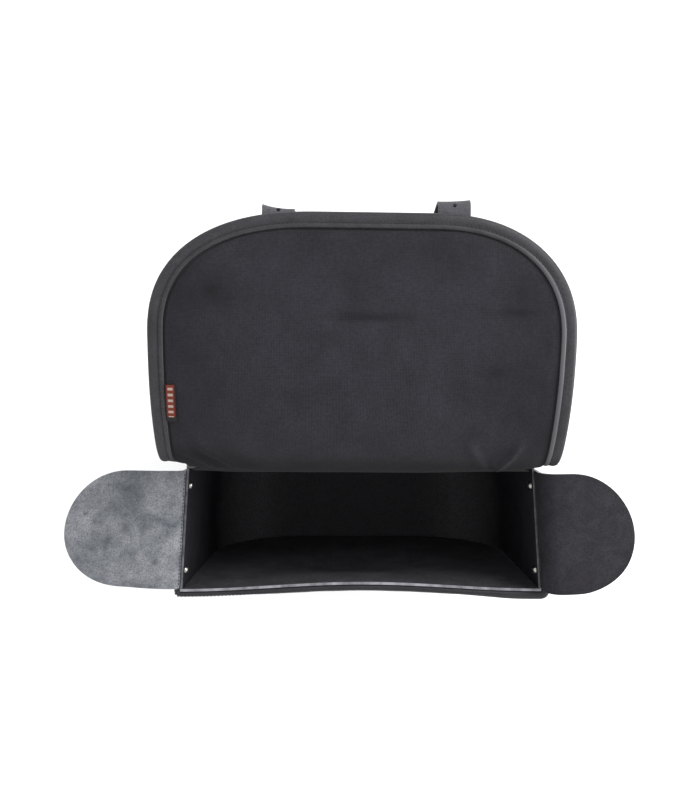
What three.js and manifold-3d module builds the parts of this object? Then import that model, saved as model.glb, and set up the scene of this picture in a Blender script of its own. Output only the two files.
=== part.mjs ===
// Throw-over saddlebag with its lid folded back and its two ears folded out.
// Millimetres, +Z up. X runs along the bag, +Y points to its back panel,
// and the origin is the middle of the flat base that it stands on.
import * as THREE from 'three';
import { mergeVertices } from 'three/addons/utils/BufferGeometryUtils.js';
import Module from 'manifold-3d';

const wasm = await Module();
wasm.setup();

// Thicknesses and the clearance between neighbouring pieces
const bodyLeather = 3;
const lidLeather = 2.5;
const earLeather = 3;
const strapLeather = 3;
const bindingLeather = 1.4;
const chapeLeather = 2;
const loopLeather = 2.5;
const liningCloth = 1;
const labelCloth = 0.9;
const gap = 0.3;

// Body: two panels joined by a U-shaped gusset
const bodyLength = 403;
const gussetWidth = 138;
const bodyHeight = 290;
const bodyCornerRadius = 115;
const sideLeanDegrees = 3;
const mouthFlare = 4.7;
const rimBow = 8;
const bowStraight = 30;
const bowFade = 110;

// Roll sewn round the outside of the front rim
const rollThickness = 8;
const rollHeight = 20;
const rollCrown = 0.8;

// Lid: leather shell, cloth lining and a folded leather binding
const lidWidth = 423;
const lidLength = 330;
const lidTwistDegrees = 0.85;
const lidTwistRise = 70;
const lidOverlap = 25;
const lidShift = -2.5;
const lidCornerLength = 122;
const neckInset = 6;
const neckLength = 42;
const shoulderRun = 14;
const bindingWidth = 14;
const bindingStart = 54;
const liningRoom = 1.5;
const liningNeckInset = 6;
const liningTuck = 12;
const liningBulge = 6;
const liningBulgeRun = 72;

// Ears
const earInset = 1.5;
const earBendDrop = 3;
const earTipHalf = 3;

// Rivets that clamp each ear's base to the gusset
const rivetSpacing = 98;
const rivetBendMargin = 3;
const rivetShankRadius = 2;
const rivetCapRadius = 4.4;
const rivetCapHeight = 3;
const rivetBurrHeight = 1.3;

// Closing straps on the outside of the lid
const strapWidth = 32;
const strapSpacing = 174;
const strapSewnLength = 180;
const strapFreeLength = 112;
const strapTipLength = 22;
const strapTipWidth = 8;
const strapHoleRadius = 2.5;
const strapHolePitch = 22;
const strapHoleCount = 4;

// Label tab sewn into the binding
const labelLength = 40;
const labelWidth = 10;
const labelAlong = 119;

// Buckles that take the closing straps, each held by a folded chape
const buckleBarHeight = 80;
const buckleBar = 4;
const buckleWindowHeight = 22;
const buckleSideClearance = 2;
const prongWidth = 3.5;
const chapeWidth = 30;
const chapeLength = 42;
const chapePinch = 20;

// Loops on the back for the yoke that goes over the seat
const loopEndInset = 101.5;
const loopDrop = 75;
const loopHeight = 30;
const loopStrapRoom = 50;
const loopGap = 6;
const loopFoot = 16;
const loopRamp = 8;

// How finely the curved pieces are faceted
const rowStep = 10;
const cornerSteps = 9;
const bendShare = 0.42;
const panelColumns = 14;
const roundSides = 12;

// Leather directions: share of the length along the piece, lean in degrees from straight up
const lidLean = [
  { along: 0, lean: 0 },
  { along: 0.061, lean: 8 },
  { along: 0.152, lean: 20 },
  { along: 0.22, lean: 38 },
  { along: 0.274, lean: 53 },
  { along: 0.341, lean: 60 },
  { along: 0.524, lean: 78 },
  { along: 0.67, lean: 87 },
  { along: 1, lean: 91 },
];
const earLeanLeft = [
  { along: 0, lean: 0 },
  { along: 0.1, lean: 84 },
  { along: 0.3, lean: 90 },
  { along: 0.6, lean: 93 },
  { along: 1, lean: 91 },
];
const earLeanRight = [
  { along: 0, lean: 0 },
  { along: 0.12, lean: -6 },
  { along: 0.24, lean: 30 },
  { along: 0.35, lean: 82 },
  { along: 0.6, lean: 94 },
  { along: 1, lean: 92 },
];
const strapLeanLeft = [
  { along: 0, lean: 92 },
  { along: 0.03, lean: 115 },
  { along: 0.1, lean: 180 },
  { along: 0.25, lean: 190 },
  { along: 0.6, lean: 191 },
  { along: 1, lean: 184 },
];
const strapLeanRight = [
  { along: 0, lean: 91 },
  { along: 0.05, lean: 100 },
  { along: 0.21, lean: 176 },
  { along: 0.35, lean: 190 },
  { along: 0.6, lean: 191 },
  { along: 1, lean: 184 },
];

// The two ears are one cut; the right one is sewn a little lower and stands up before it folds
const ears = {
  left: { side: -1, flap: 141, base: 38, shift: -0.5, leans: earLeanLeft },
  right: { side: 1, flap: 132, base: 47, shift: -1, leans: earLeanRight },
};

// The left closing strap drops more sharply, so its first hole is nearer the lid's edge
const straps = {
  left: { side: -1, leans: strapLeanLeft, firstHole: 5 },
  right: { side: 1, leans: strapLeanRight, firstHole: 12 },
};

// Front corners of the lid: how far each reaches along X, and its squareness (2 is an ellipse)
const lidSides = {
  left: { side: -1, cornerReach: 168, squareness: 2.4 },
  right: { side: 1, cornerReach: 143, squareness: 2.3 },
};

// Sizes that follow from the ones above
const halfLength = bodyLength / 2;
const lean = THREE.MathUtils.degToRad(sideLeanDegrees);
const cornerRise = bodyHeight - bodyCornerRadius;
const cornerCentre = halfLength - (bodyCornerRadius + cornerRise * Math.sin(lean)) / Math.cos(lean);
const tangentHeight = bodyCornerRadius * (1 - Math.sin(lean));
const panelInner = gussetWidth / 2 + gap;
const panelOuter = panelInner + bodyLeather;
const lidCornerStart = lidLength - lidCornerLength;
const neckHalf = halfLength - mouthFlare - neckInset;
const lidMiddle = panelOuter + gap + lidLeather / 2;
const liningLie = lidLeather / 2 + gap + liningCloth / 2;
const earWidth = gussetWidth - 2 * earInset;
const rollEnd = Math.min(ears.left.shift, ears.right.shift) - earWidth / 2 - gap;
const liningSeat = lidMiddle - panelInner + gap + liningCloth / 2;
const bindingInset = bindingWidth + liningRoom;

// Finishes
const blackLeather = new THREE.MeshStandardMaterial({ color: 0x35343a, roughness: 0.62, metalness: 0 });
const fleshLeather = new THREE.MeshStandardMaterial({ color: 0x77787d, roughness: 0.92, metalness: 0 });
const edgeLeather = new THREE.MeshStandardMaterial({ color: 0x2b2a2e, roughness: 0.55, metalness: 0 });
const liningFabric = new THREE.MeshStandardMaterial({ color: 0x37363b, roughness: 0.95, metalness: 0 });
const wovenLabel = new THREE.MeshStandardMaterial({ color: 0x93402c, roughness: 0.9, metalness: 0 });
const nickel = new THREE.MeshStandardMaterial({ color: 0xb9b7b2, roughness: 0.28, metalness: 1 });

const bag = new THREE.Group();

function add(name, geometry, material) {
  const mesh = new THREE.Mesh(geometry, material);
  mesh.name = name;
  bag.add(mesh);
  return mesh;
}

// The front of the mouth is a little longer than its back, so every point is moved along X by its Y
function flared(x, y, z) {
  const share = THREE.MathUtils.clamp(y / (gussetWidth / 2), -1, 1);
  return [x * (1 - share * mouthFlare / halfLength), y, z];
}

// A closed mesh from corner points and faces, turned so that its faces point out
function closedMesh(positions, index) {
  const geometry = new THREE.BufferGeometry();
  geometry.setAttribute('position', new THREE.Float32BufferAttribute(positions, 3));
  const corner = (i) => new THREE.Vector3().fromArray(positions, 3 * i);
  let volume = 0;
  for (let i = 0; i < index.length; i += 3) {
    const [a, b, c] = [corner(index[i]), corner(index[i + 1]), corner(index[i + 2])];
    volume += a.dot(b.cross(c));
  }
  geometry.setIndex(volume < 0 ? index.slice().reverse() : index);
  geometry.computeVertexNormals();
  return geometry;
}

// A sheet of even thickness. Each row has a point a, b of its path, the normal there and half its width.
function sheet({ rows, columns, low, high, place }) {
  const positions = [];
  const index = [];
  const stride = columns + 1;
  const layer = rows.length * stride;
  for (const off of [low, high]) {
    for (const row of rows) {
      for (let c = 0; c <= columns; c += 1) {
        const across = (row.centre ?? 0) + row.half * (2 * c / columns - 1);
        positions.push(...place(across, row.a + row.na * off, row.b + row.nb * off));
      }
    }
  }
  const quad = (p, q, r, s) => index.push(p, q, r, p, r, s);
  for (let r = 0; r + 1 < rows.length; r += 1) {
    const here = r * stride;
    const next = here + stride;
    for (let c = 0; c < columns; c += 1) {
      quad(here + c, next + c, next + c + 1, here + c + 1);
      quad(layer + here + c, layer + here + c + 1, layer + next + c + 1, layer + next + c);
    }
    quad(here, layer + here, layer + next, next);
    quad(here + columns, next + columns, layer + next + columns, layer + here + columns);
  }
  const last = (rows.length - 1) * stride;
  for (let c = 0; c < columns; c += 1) {
    quad(c, c + 1, layer + c + 1, layer + c);
    quad(last + c, layer + last + c, layer + last + c + 1, last + c + 1);
  }
  return closedMesh(positions, index);
}

// A section carried along a row of frames, each of which turns a section point into a place
function sweep(frames, section) {
  const positions = [];
  const index = [];
  const count = section.length;
  for (const frame of frames) {
    for (const point of section) {
      positions.push(...frame(point.x, point.y));
    }
  }
  for (let f = 0; f + 1 < frames.length; f += 1) {
    for (let i = 0; i < count; i += 1) {
      const j = (i + 1) % count;
      const [p, q] = [f * count + i, f * count + j];
      index.push(p, q, q + count, p, q + count, p + count);
    }
  }
  const last = (frames.length - 1) * count;
  for (const [a, b, c] of THREE.ShapeUtils.triangulateShape(section, [])) {
    index.push(a, c, b);
    index.push(last + a, last + b, last + c);
  }
  return closedMesh(positions, index);
}

// Solids for cutting holes
function toSolid(geometry) {
  const bare = geometry.clone();
  bare.deleteAttribute('normal');
  bare.deleteAttribute('uv');
  const merged = mergeVertices(bare);
  const vertProperties = new Float32Array(merged.attributes.position.array);
  const triVerts = new Uint32Array(merged.index.array);
  return new wasm.Manifold(new wasm.Mesh({ numProp: 3, vertProperties, triVerts }));
}

function cut(geometry, cutters) {
  let solid = toSolid(geometry);
  for (const cutter of cutters) {
    solid = solid.subtract(toSolid(cutter));
  }
  const mesh = solid.getMesh();
  return closedMesh(Array.from(mesh.vertProperties), Array.from(mesh.triVerts));
}

// A round cutter from one point towards another
function roundCutter(radius, middle, axis, length) {
  const geometry = new THREE.CylinderGeometry(radius, radius, length, roundSides);
  const turn = new THREE.Quaternion().setFromUnitVectors(new THREE.Vector3(0, 1, 0), axis);
  geometry.applyQuaternion(turn);
  geometry.translate(middle.x, middle.y, middle.z);
  return geometry;
}

// The path of a sheet of leather that is worked out from its lean at each length along it
function leatherPath(start, startLean, table, length) {
  const stepsPerPath = 400;
  const step = length / stepsPerPath;
  const leanAt = (share) => {
    const next = Math.max(1, table.findIndex((row) => row.along >= share));
    const [low, high] = [table[next - 1], table[next]];
    const t = (share - low.along) / (high.along - low.along);
    return startLean + THREE.MathUtils.degToRad(THREE.MathUtils.lerp(low.lean, high.lean, t));
  };
  const points = [{ a: start.a, b: start.b }];
  for (let i = 0; i < stepsPerPath; i += 1) {
    const angle = leanAt((i + 0.5) / stepsPerPath);
    const from = points[i];
    points.push({ a: from.a + step * Math.sin(angle), b: from.b + step * Math.cos(angle) });
  }
  return (along) => {
    const share = THREE.MathUtils.clamp(along / length, 0, 1);
    const angle = leanAt(share);
    const place = Math.min(share * stepsPerPath, stepsPerPath - 1);
    const low = points[Math.floor(place)];
    const rest = along < 0 ? along : (share * stepsPerPath - Math.floor(place)) * step;
    const [da, db] = [Math.sin(angle), Math.cos(angle)];
    return { a: low.a + rest * da, b: low.b + rest * db, na: db, nb: -da };
  };
}

function spaced(from, to, step) {
  const count = Math.max(1, Math.round((to - from) / step));
  return Array.from({ length: count + 1 }, (_, i) => THREE.MathUtils.lerp(from, to, i / count));
}

const smooth = (value) => THREE.MathUtils.smoothstep(value, 0, 1);

// Body outline seen from the front, from the left end of the mouth round the base to the right end
function bodyOutline() {
  const rows = [];
  for (const z of spaced(bodyHeight, tangentHeight, 3 * rowStep).slice(0, -1)) {
    const x = halfLength - (bodyHeight - z) * Math.tan(lean);
    rows.push({ a: -x, b: z, na: -Math.cos(lean), nb: -Math.sin(lean) });
  }
  for (const angle of spaced(lean, Math.PI / 2, (Math.PI / 2 - lean) / cornerSteps)) {
    const [na, nb] = [-Math.cos(angle), -Math.sin(angle)];
    const a = -cornerCentre + bodyCornerRadius * na;
    rows.push({ a, b: bodyCornerRadius * (1 + nb), na, nb });
  }
  const mirrored = rows.map((row) => ({ ...row, a: -row.a, na: -row.na })).reverse();
  return [...rows, ...mirrored];
}

// Half the length of a panel at a height above the base
function panelHalf(z) {
  if (z >= tangentHeight) {
    return halfLength - (bodyHeight - z) * Math.tan(lean);
  }
  const down = bodyCornerRadius - z;
  return cornerCentre + Math.sqrt(bodyCornerRadius ** 2 - down ** 2);
}

// Heights of a panel's rows, with the ones above its round corners given as a list
function panelHeights(upper) {
  const angles = spaced(0, Math.PI / 2 - lean, (Math.PI / 2 - lean) / cornerSteps);
  return [...angles.map((angle) => bodyCornerRadius * (1 - Math.cos(angle))), ...upper];
}

// The front panel is drawn in at the middle of the mouth
function frontBow(x, z) {
  const along = Math.min(1, Math.abs(x) / halfLength);
  const depth = smooth((z - (bodyHeight - bowStraight - bowFade)) / bowFade);
  return rimBow * Math.cos(along * Math.PI / 2) ** 2 * depth;
}

function makeFrontPanel() {
  const low = Math.max(bodyHeight - bowStraight - bowFade, tangentHeight + rowStep);
  const rows = panelHeights(spaced(low, bodyHeight, rowStep)).map((z) => (
    { a: -panelInner, b: z, na: -1, nb: 0, half: panelHalf(z) }));
  const place = (x, y, z) => flared(x, y + frontBow(x, z), z);
  const panel = sheet({ rows, columns: panelColumns, low: 0, high: bodyLeather, place });
  add('front_panel', panel, blackLeather);
}

function makeBackPanel() {
  const rows = panelHeights([bodyHeight]).map((z) => (
    { a: panelInner, b: z, na: 1, nb: 0, half: panelHalf(z) }));
  add('back_panel', sheet({ rows, columns: 1, low: 0, high: bodyLeather, place: flared }), blackLeather);
}

// A place on the outside of a side wall, measured down from the rim, with the wall's own directions
const wallUp = { x: Math.sin(lean), z: Math.cos(lean) };
const wallOut = { x: Math.cos(lean), z: -Math.sin(lean) };

function wallPoint(side, y, drop, out) {
  const x = halfLength - drop * wallUp.x + out * wallOut.x;
  const z = bodyHeight - drop * wallUp.z + out * wallOut.z;
  return new THREE.Vector3(...flared(side * x, y, z));
}

const rivetDrop = earBendDrop + rivetBendMargin + rivetCapRadius;

function rivetPlaces(ear) {
  return [-1, 1].map((end) => ({ end, y: ear.shift + end * rivetSpacing / 2 }));
}

// Square to the side wall, which the flare has turned a little
function rivetAxis(ear) {
  const turned = mouthFlare / (gussetWidth / 2);
  return new THREE.Vector3(ear.side * wallOut.x, turned, wallOut.z).normalize();
}

function rivetCutters(ear) {
  const length = 4 * (bodyLeather + earLeather);
  return rivetPlaces(ear).map(({ y }) => roundCutter(
    rivetShankRadius + gap, wallPoint(ear.side, y, rivetDrop, 0), rivetAxis(ear), length));
}

function makeGusset() {
  const rows = bodyOutline().map((row) => ({ ...row, half: gussetWidth / 2 }));
  const place = (y, x, z) => flared(x, y, z);
  const strip = sheet({ rows, columns: 4, low: -bodyLeather, high: 0, place });
  add('gusset', cut(strip, [...rivetCutters(ears.left), ...rivetCutters(ears.right)]), blackLeather);
}

// Rivet: a domed cap inside the bag, a shank and a flatter cap on the ear's base
function makeRivets() {
  const grip = bodyLeather + gap + earLeather + 2 * gap;
  const dome = [
    { radius: 0, height: 1 },
    { radius: 0.55, height: 0.82 },
    { radius: 0.9, height: 0.35 },
    { radius: 1, height: 0 },
  ];
  const profile = dome.map((p) => new THREE.Vector2(rivetCapRadius * p.radius, -rivetCapHeight * p.height));
  profile.push(new THREE.Vector2(rivetShankRadius, 0));
  profile.push(new THREE.Vector2(rivetShankRadius, grip));
  profile.push(new THREE.Vector2(rivetCapRadius, grip));
  profile.push(new THREE.Vector2(rivetCapRadius * dome[1].radius, grip + rivetBurrHeight));
  profile.push(new THREE.Vector2(0, grip + rivetBurrHeight));
  for (const [label, ear] of Object.entries(ears)) {
    for (const { end, y } of rivetPlaces(ear)) {
      const name = `rivet_${label}_${end < 0 ? 'front' : 'back'}`;
      const rivet = add(name, new THREE.LatheGeometry(profile, roundSides), nickel);
      rivet.quaternion.setFromUnitVectors(new THREE.Vector3(0, 1, 0), rivetAxis(ear));
      rivet.position.copy(wallPoint(ear.side, y, rivetDrop, -bodyLeather - gap));
    }
  }
}

// Roll round the outside of the front rim and a short way round its two corners
function makeFrontRoll() {
  const frames = [];
  const frameAt = (x, y, nx, ny) => (out, up) => flared(x + nx * out, y + ny * out, bodyHeight + up);
  const reach = spaced(-halfLength, halfLength, halfLength / 10);
  frames.push(frameAt(-halfLength, rollEnd, -1, 0));
  for (const angle of spaced(0, Math.PI / 2, Math.PI / 10)) {
    frames.push(frameAt(-halfLength, -panelOuter, -Math.cos(angle), -Math.sin(angle)));
  }
  for (const x of reach.slice(1, -1)) {
    frames.push(frameAt(x, frontBow(x, bodyHeight) - panelOuter, 0, -1));
  }
  for (const angle of spaced(Math.PI / 2, 0, -Math.PI / 10)) {
    frames.push(frameAt(halfLength, -panelOuter, Math.cos(angle), -Math.sin(angle)));
  }
  frames.push(frameAt(halfLength, rollEnd, 1, 0));
  const outer = gap + rollThickness;
  const section = [
    [gap, -rollHeight],
    [outer - rollThickness * 0.3, -rollHeight],
    [outer, rollThickness * 0.3 - rollHeight],
    [outer, -rollThickness * 0.35],
    [outer - rollThickness * 0.2, rollCrown - rollThickness * 0.12],
    [gap + rollThickness * 0.5, rollCrown],
    [gap + rollThickness * 0.12, rollCrown * 0.5],
    [gap, -rollThickness * 0.12],
  ].map(([out, up]) => new THREE.Vector2(out, up));
  add('front_rim_roll', sweep(frames, section), edgeLeather);
}

// Lid
const lidPath = leatherPath({ a: lidMiddle, b: bodyHeight }, 0, lidLean, lidLength);

// How far one side of the lid reaches from its middle line, measured inside an inset
function lidReachAt(edge, along, inset) {
  const full = lidWidth / 2 + edge.side * lidShift;
  const past = along - lidCornerStart;
  if (past <= 0) {
    const shoulder = smooth((along - neckLength) / shoulderRun);
    return THREE.MathUtils.lerp(neckHalf, full, shoulder) - inset;
  }
  const share = Math.min(1, past / (lidCornerLength - inset));
  const round = (1 - share ** edge.squareness) ** (1 / edge.squareness);
  return full - edge.cornerReach + (edge.cornerReach - inset) * round;
}

// The half width and the middle of a row that reaches from the left side to the right one
function lidRowAt(along, inset) {
  const left = lidReachAt(lidSides.left, along, inset);
  const right = lidReachAt(lidSides.right, along, inset);
  return { half: (left + right) / 2, centre: (right - left) / 2 };
}

// Lengths along the lid at which it has a row, closer together round its front corners
function lidStations(from, inset) {
  const reach = lidCornerLength - inset;
  const neck = [neckLength, neckLength + shoulderRun / 2, neckLength + shoulderRun];
  const straight = [...spaced(from, neckLength, rowStep).slice(0, -1), ...neck];
  straight.push(...spaced(neckLength + shoulderRun, lidCornerStart, rowStep).slice(1, -1));
  const angles = spaced(0, Math.PI / 2, Math.PI / 2 / cornerSteps);
  return [...straight.filter((s) => s >= from), ...angles.map((t) => lidCornerStart + reach * Math.sin(t))];
}

// The lid turns a little about the middle of its hinge as it rises from the mouth
function lidPlace(x, y, z) {
  const turn = -THREE.MathUtils.degToRad(lidTwistDegrees) * smooth((z - bodyHeight) / lidTwistRise);
  const back = y - panelOuter;
  return [
    x * Math.cos(turn) - back * Math.sin(turn),
    panelOuter + x * Math.sin(turn) + back * Math.cos(turn),
    z,
  ];
}

function makeLidShell() {
  const rows = lidStations(-lidOverlap, 0).map((s) => ({ ...lidPath(s), ...lidRowAt(s, 0) }));
  const half = lidLeather / 2;
  add('lid_shell', sheet({ rows, columns: 6, low: -half, high: half, place: lidPlace }), blackLeather);
}

function liningRowAt(along) {
  const inset = smooth((along - neckLength + shoulderRun) / shoulderRun);
  return lidRowAt(along, THREE.MathUtils.lerp(liningNeckInset, bindingInset, inset));
}

// How far the lining stands off the middle of the lid's leather: it is tucked over the back rim
function liningStand(along) {
  const share = THREE.MathUtils.clamp(along / liningBulgeRun, 0, 1);
  const bulge = liningBulge * Math.sin(Math.PI * share) ** 2;
  return THREE.MathUtils.lerp(liningSeat, liningLie, smooth(share)) + bulge;
}

function makeLining() {
  const rows = lidStations(-liningTuck, bindingInset).map((s) => {
    const at = lidPath(s);
    const off = -liningStand(s);
    return { a: at.a + at.na * off, b: at.b + at.nb * off, na: at.na, nb: at.nb, ...liningRowAt(s) };
  });
  const half = liningCloth / 2;
  add('lid_lining', sheet({ rows, columns: 8, low: -half, high: half, place: lidPlace }), liningFabric);
}

// The binding folds round the edge, so its section is a C that opens inwards
function makeBinding() {
  const stations = lidStations(-lidOverlap, 0).filter((along) => along >= bindingStart);
  const right = stations.map((s) => ({ x: lidReachAt(lidSides.right, s, 0), s }));
  const left = stations.map((s) => ({ x: -lidReachAt(lidSides.left, s, 0), s }));
  const outline = [...right, ...left.reverse()];
  const frames = outline.map((p, i) => {
    const before = outline[Math.max(0, i - 1)];
    const after = outline[Math.min(outline.length - 1, i + 1)];
    const run = new THREE.Vector2(after.x - before.x, after.s - before.s).normalize();
    return (inward, up) => {
      const at = lidPath(p.s - inward * -run.x);
      const x = p.x - inward * run.y;
      return lidPlace(x, at.a - at.na * up, at.b - at.nb * up);
    };
  });
  const face = lidLeather / 2 + gap;
  const skin = face + bindingLeather;
  const section = [
    [-gap - bindingLeather, -skin],
    [bindingWidth, -skin],
    [bindingWidth, -face],
    [-gap, -face],
    [-gap, face],
    [bindingWidth, face],
    [bindingWidth, skin],
    [-gap - bindingLeather, skin],
  ].map(([inward, up]) => new THREE.Vector2(inward, up));
  add('lid_binding', sweep(frames, section), edgeLeather);
}

function makeLabel() {
  const stand = liningLie + liningCloth / 2 + gap;
  const edge = lidReachAt(lidSides.left, labelAlong, bindingWidth + gap);
  const centre = labelWidth / 2 - edge;
  const rows = spaced(labelAlong, labelAlong + labelLength, rowStep).map((s) => (
    { ...lidPath(s), half: labelWidth / 2, centre }));
  const tab = sheet({ rows, columns: 1, low: -stand - labelCloth, high: -stand, place: lidPlace });
  add('label_tab', tab, wovenLabel);
}

// Closing strap: sewn under the lid, over the binding, then hanging free past the lid's front edge
function makeClosingStrap(name, strapSide) {
  const middle = strapSide.side * strapSpacing / 2;
  const under = lidLeather / 2 + gap;
  const overBinding = under + bindingLeather + gap;
  const offAt = (s) => {
    const share = (s - (lidLength - bindingWidth - 2 * rowStep)) / rowStep;
    return THREE.MathUtils.lerp(under, overBinding, smooth(share));
  };
  const rows = [];
  const sewn = spaced(lidLength - strapSewnLength, lidLength - bindingWidth - rowStep, rowStep);
  for (const s of [...sewn, lidLength]) {
    const at = lidPath(s);
    const off = offAt(s);
    rows.push({ a: at.a + at.na * off, b: at.b + at.nb * off, na: at.na, nb: at.nb, half: strapWidth / 2 });
  }
  const free = leatherPath(rows[rows.length - 1], 0, strapSide.leans, strapFreeLength);
  const tipStart = strapFreeLength - strapTipLength;
  const tipRows = spaced(tipStart, strapFreeLength, rowStep / 2).slice(1);
  const stations = [...spaced(0, tipStart, rowStep / 2), ...tipRows];
  for (const s of stations.slice(1)) {
    const tip = Math.max(0, s - tipStart) / strapTipLength;
    const half = THREE.MathUtils.lerp(strapWidth, strapTipWidth, tip ** 2) / 2;
    rows.push({ ...free(s), half });
  }
  for (const row of rows) {
    row.centre = middle;
  }
  const strap = sheet({ rows, columns: 2, low: 0, high: strapLeather, place: lidPlace });
  const cutters = [];
  for (let i = 0; i < strapHoleCount; i += 1) {
    const at = free(strapSide.firstHole + i * strapHolePitch);
    const centre = new THREE.Vector3(...lidPlace(middle, at.a, at.b));
    const axis = new THREE.Vector3(0, at.na, at.nb).normalize();
    cutters.push(roundCutter(strapHoleRadius, centre, axis, 4 * strapLeather));
  }
  add(name, cut(strap, cutters), blackLeather);
}

// Ear: a base flat on the side wall, then a bend, then a round-ended flap
function makeEar(label, material) {
  const ear = ears[label];
  const bendStart = { a: halfLength - earBendDrop * wallUp.x, b: bodyHeight - earBendDrop * wallUp.z };
  const path = leatherPath(bendStart, lean, ear.leans, ear.flap);
  const radius = earWidth / 2;
  const roundStart = ear.flap - radius;
  const bendEnd = Math.min(roundStart, ear.flap * bendShare);
  const rows = [];
  for (const s of [...spaced(-ear.base, 0, ear.base / 2), ...spaced(0, bendEnd, rowStep / 2).slice(1)]) {
    rows.push({ ...path(s), half: radius });
  }
  for (const s of spaced(bendEnd, roundStart, rowStep).slice(1)) {
    rows.push({ ...path(s), half: radius });
  }
  const steps = cornerSteps + 2;
  for (const angle of spaced(0, Math.PI / 2, Math.PI / 2 / steps).slice(1)) {
    const half = Math.max(radius * Math.cos(angle), earTipHalf);
    rows.push({ ...path(roundStart + radius * Math.sin(angle)), half });
  }
  for (const row of rows) {
    row.centre = ear.shift;
  }
  const place = (y, x, z) => flared(ear.side * x, y, z);
  const flap = sheet({ rows, columns: 6, low: gap, high: gap + earLeather, place });
  add(`ear_${label}`, cut(flap, rivetCutters(ear)), material);
}

// Rows for a sheet that follows a list of points
function rowsAlong(points, half, centre) {
  return points.map((point, i) => {
    const before = points[Math.max(0, i - 1)];
    const after = points[Math.min(points.length - 1, i + 1)];
    const run = new THREE.Vector2(after[0] - before[0], after[1] - before[1]).normalize();
    return { a: point[0], b: point[1], na: -run.y, nb: run.x, half, centre };
  });
}

// Buckle and the chape that is folded round its upper bar
function makeBuckle(label, side) {
  const middle = side * strapSpacing / 2;
  const foldRadius = buckleBar * Math.SQRT1_2 + gap;
  const foldMiddle = foldRadius + chapeLeather / 2;
  const lower = gap + chapeLeather / 2;
  const barOut = lower + foldMiddle;
  const upper = lower + chapeLeather + gap;

  const points = [[chapeLength, lower], [chapeLength / 2, lower]];
  for (const angle of spaced(0, Math.PI, Math.PI / 8)) {
    points.push([-foldMiddle * Math.sin(angle), barOut - foldMiddle * Math.cos(angle)]);
  }
  for (const share of [0.25, 0.5, 0.75, 1]) {
    points.push([chapePinch * share, THREE.MathUtils.lerp(barOut + foldMiddle, upper, smooth(share))]);
  }
  points.push([chapeLength, upper]);
  const place = (x, up, out) => flared(x, -panelOuter - out, buckleBarHeight + up);
  const half = chapeLeather / 2;
  const chape = sheet({
    rows: rowsAlong(points, chapeWidth / 2, middle), columns: 2, low: -half, high: half, place,
  });
  const slotHeight = 3 * foldMiddle;
  const slot = new THREE.BoxGeometry(prongWidth + 2 * gap, 4 * foldMiddle, slotHeight);
  slot.translate(middle, -panelOuter - barOut - foldMiddle, buckleBarHeight - slotHeight / 2 + gap);
  const lowSlot = new THREE.BoxGeometry(prongWidth + 2 * gap, 2 * foldMiddle, slotHeight);
  lowSlot.translate(middle, -panelOuter - barOut, buckleBarHeight - slotHeight / 2 - buckleBar / 2);
  const flareAtFront = 1 + mouthFlare / halfLength;
  for (const cutter of [slot, lowSlot]) {
    cutter.scale(flareAtFront, 1, 1);
  }
  add(`chape_${label}`, cut(chape, [slot, lowSlot]), blackLeather);

  const windowHalf = strapWidth / 2 + buckleSideClearance;
  const outerHalf = windowHalf + buckleBar;
  const bottom = -buckleBar / 2 - buckleWindowHeight;
  const outline = [-1, 1].map((hand) => new THREE.Vector2(-hand * outerHalf, buckleBar / 2));
  for (const hand of [-1, 1]) {
    const cornerX = hand * (outerHalf - buckleBar);
    const turn = Math.PI * (hand < 0 ? 1 : 1.5);
    for (const angle of spaced(turn, turn + Math.PI / 2, Math.PI / 8)) {
      outline.push(new THREE.Vector2(cornerX, bottom).addScaledVector(
        new THREE.Vector2(Math.cos(angle), Math.sin(angle)), buckleBar));
    }
  }
  const face = new THREE.Shape(outline);
  const plate = new THREE.ExtrudeGeometry(face, { depth: buckleBar, bevelEnabled: false });
  plate.translate(0, 0, -buckleBar / 2);
  const windowWidth = windowHalf - prongWidth / 2;
  const windows = [-1, 1].map((hand) => {
    const opening = new THREE.BoxGeometry(windowWidth, buckleWindowHeight, 2 * buckleBar);
    opening.translate(hand * (prongWidth + windowWidth) / 2, -(buckleBar + buckleWindowHeight) / 2, 0);
    return opening;
  });
  const geometry = cut(plate, windows);
  const buckle = add(`buckle_${label}`, geometry, nickel);
  buckle.rotation.x = Math.PI / 2;
  buckle.position.set(middle * flareAtFront, -panelOuter - barOut, buckleBarHeight);
}

// Loop on the back panel: two sewn feet and a raised middle with room for a yoke strap
function makeYokeLoop(name, side) {
  const middle = side * (halfLength - loopEndInset);
  const low = panelOuter + gap;
  const high = panelOuter + loopGap;
  const room = loopStrapRoom / 2;
  const points = [
    [-room - loopRamp - loopFoot, low],
    [-room - loopRamp, low],
    [-room - loopRamp / 2, (low + high) / 2],
    [-room, high],
    [room, high],
    [room + loopRamp / 2, (low + high) / 2],
    [room + loopRamp, low],
    [room + loopRamp + loopFoot, low],
  ].map(([x, y]) => [middle + x, y]);
  const rows = rowsAlong(points, loopHeight / 2, bodyHeight - loopDrop);
  const place = (z, x, y) => flared(x, y, z);
  add(name, sheet({ rows, columns: 1, low: 0, high: loopLeather, place }), blackLeather);
}

makeGusset();
makeFrontPanel();
makeBackPanel();
makeFrontRoll();
makeLidShell();
makeLining();
makeBinding();
makeLabel();
makeEar('left', fleshLeather);
makeEar('right', blackLeather);
makeRivets();
makeClosingStrap('closing_strap_left', straps.left);
makeClosingStrap('closing_strap_right', straps.right);
makeBuckle('left', -1);
makeBuckle('right', 1);
makeYokeLoop('yoke_loop_left', -1);
makeYokeLoop('yoke_loop_right', 1);

export default bag;
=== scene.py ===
import math
import bmesh
import bpy
from mathutils import Matrix, Quaternion, Vector, noise


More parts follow.
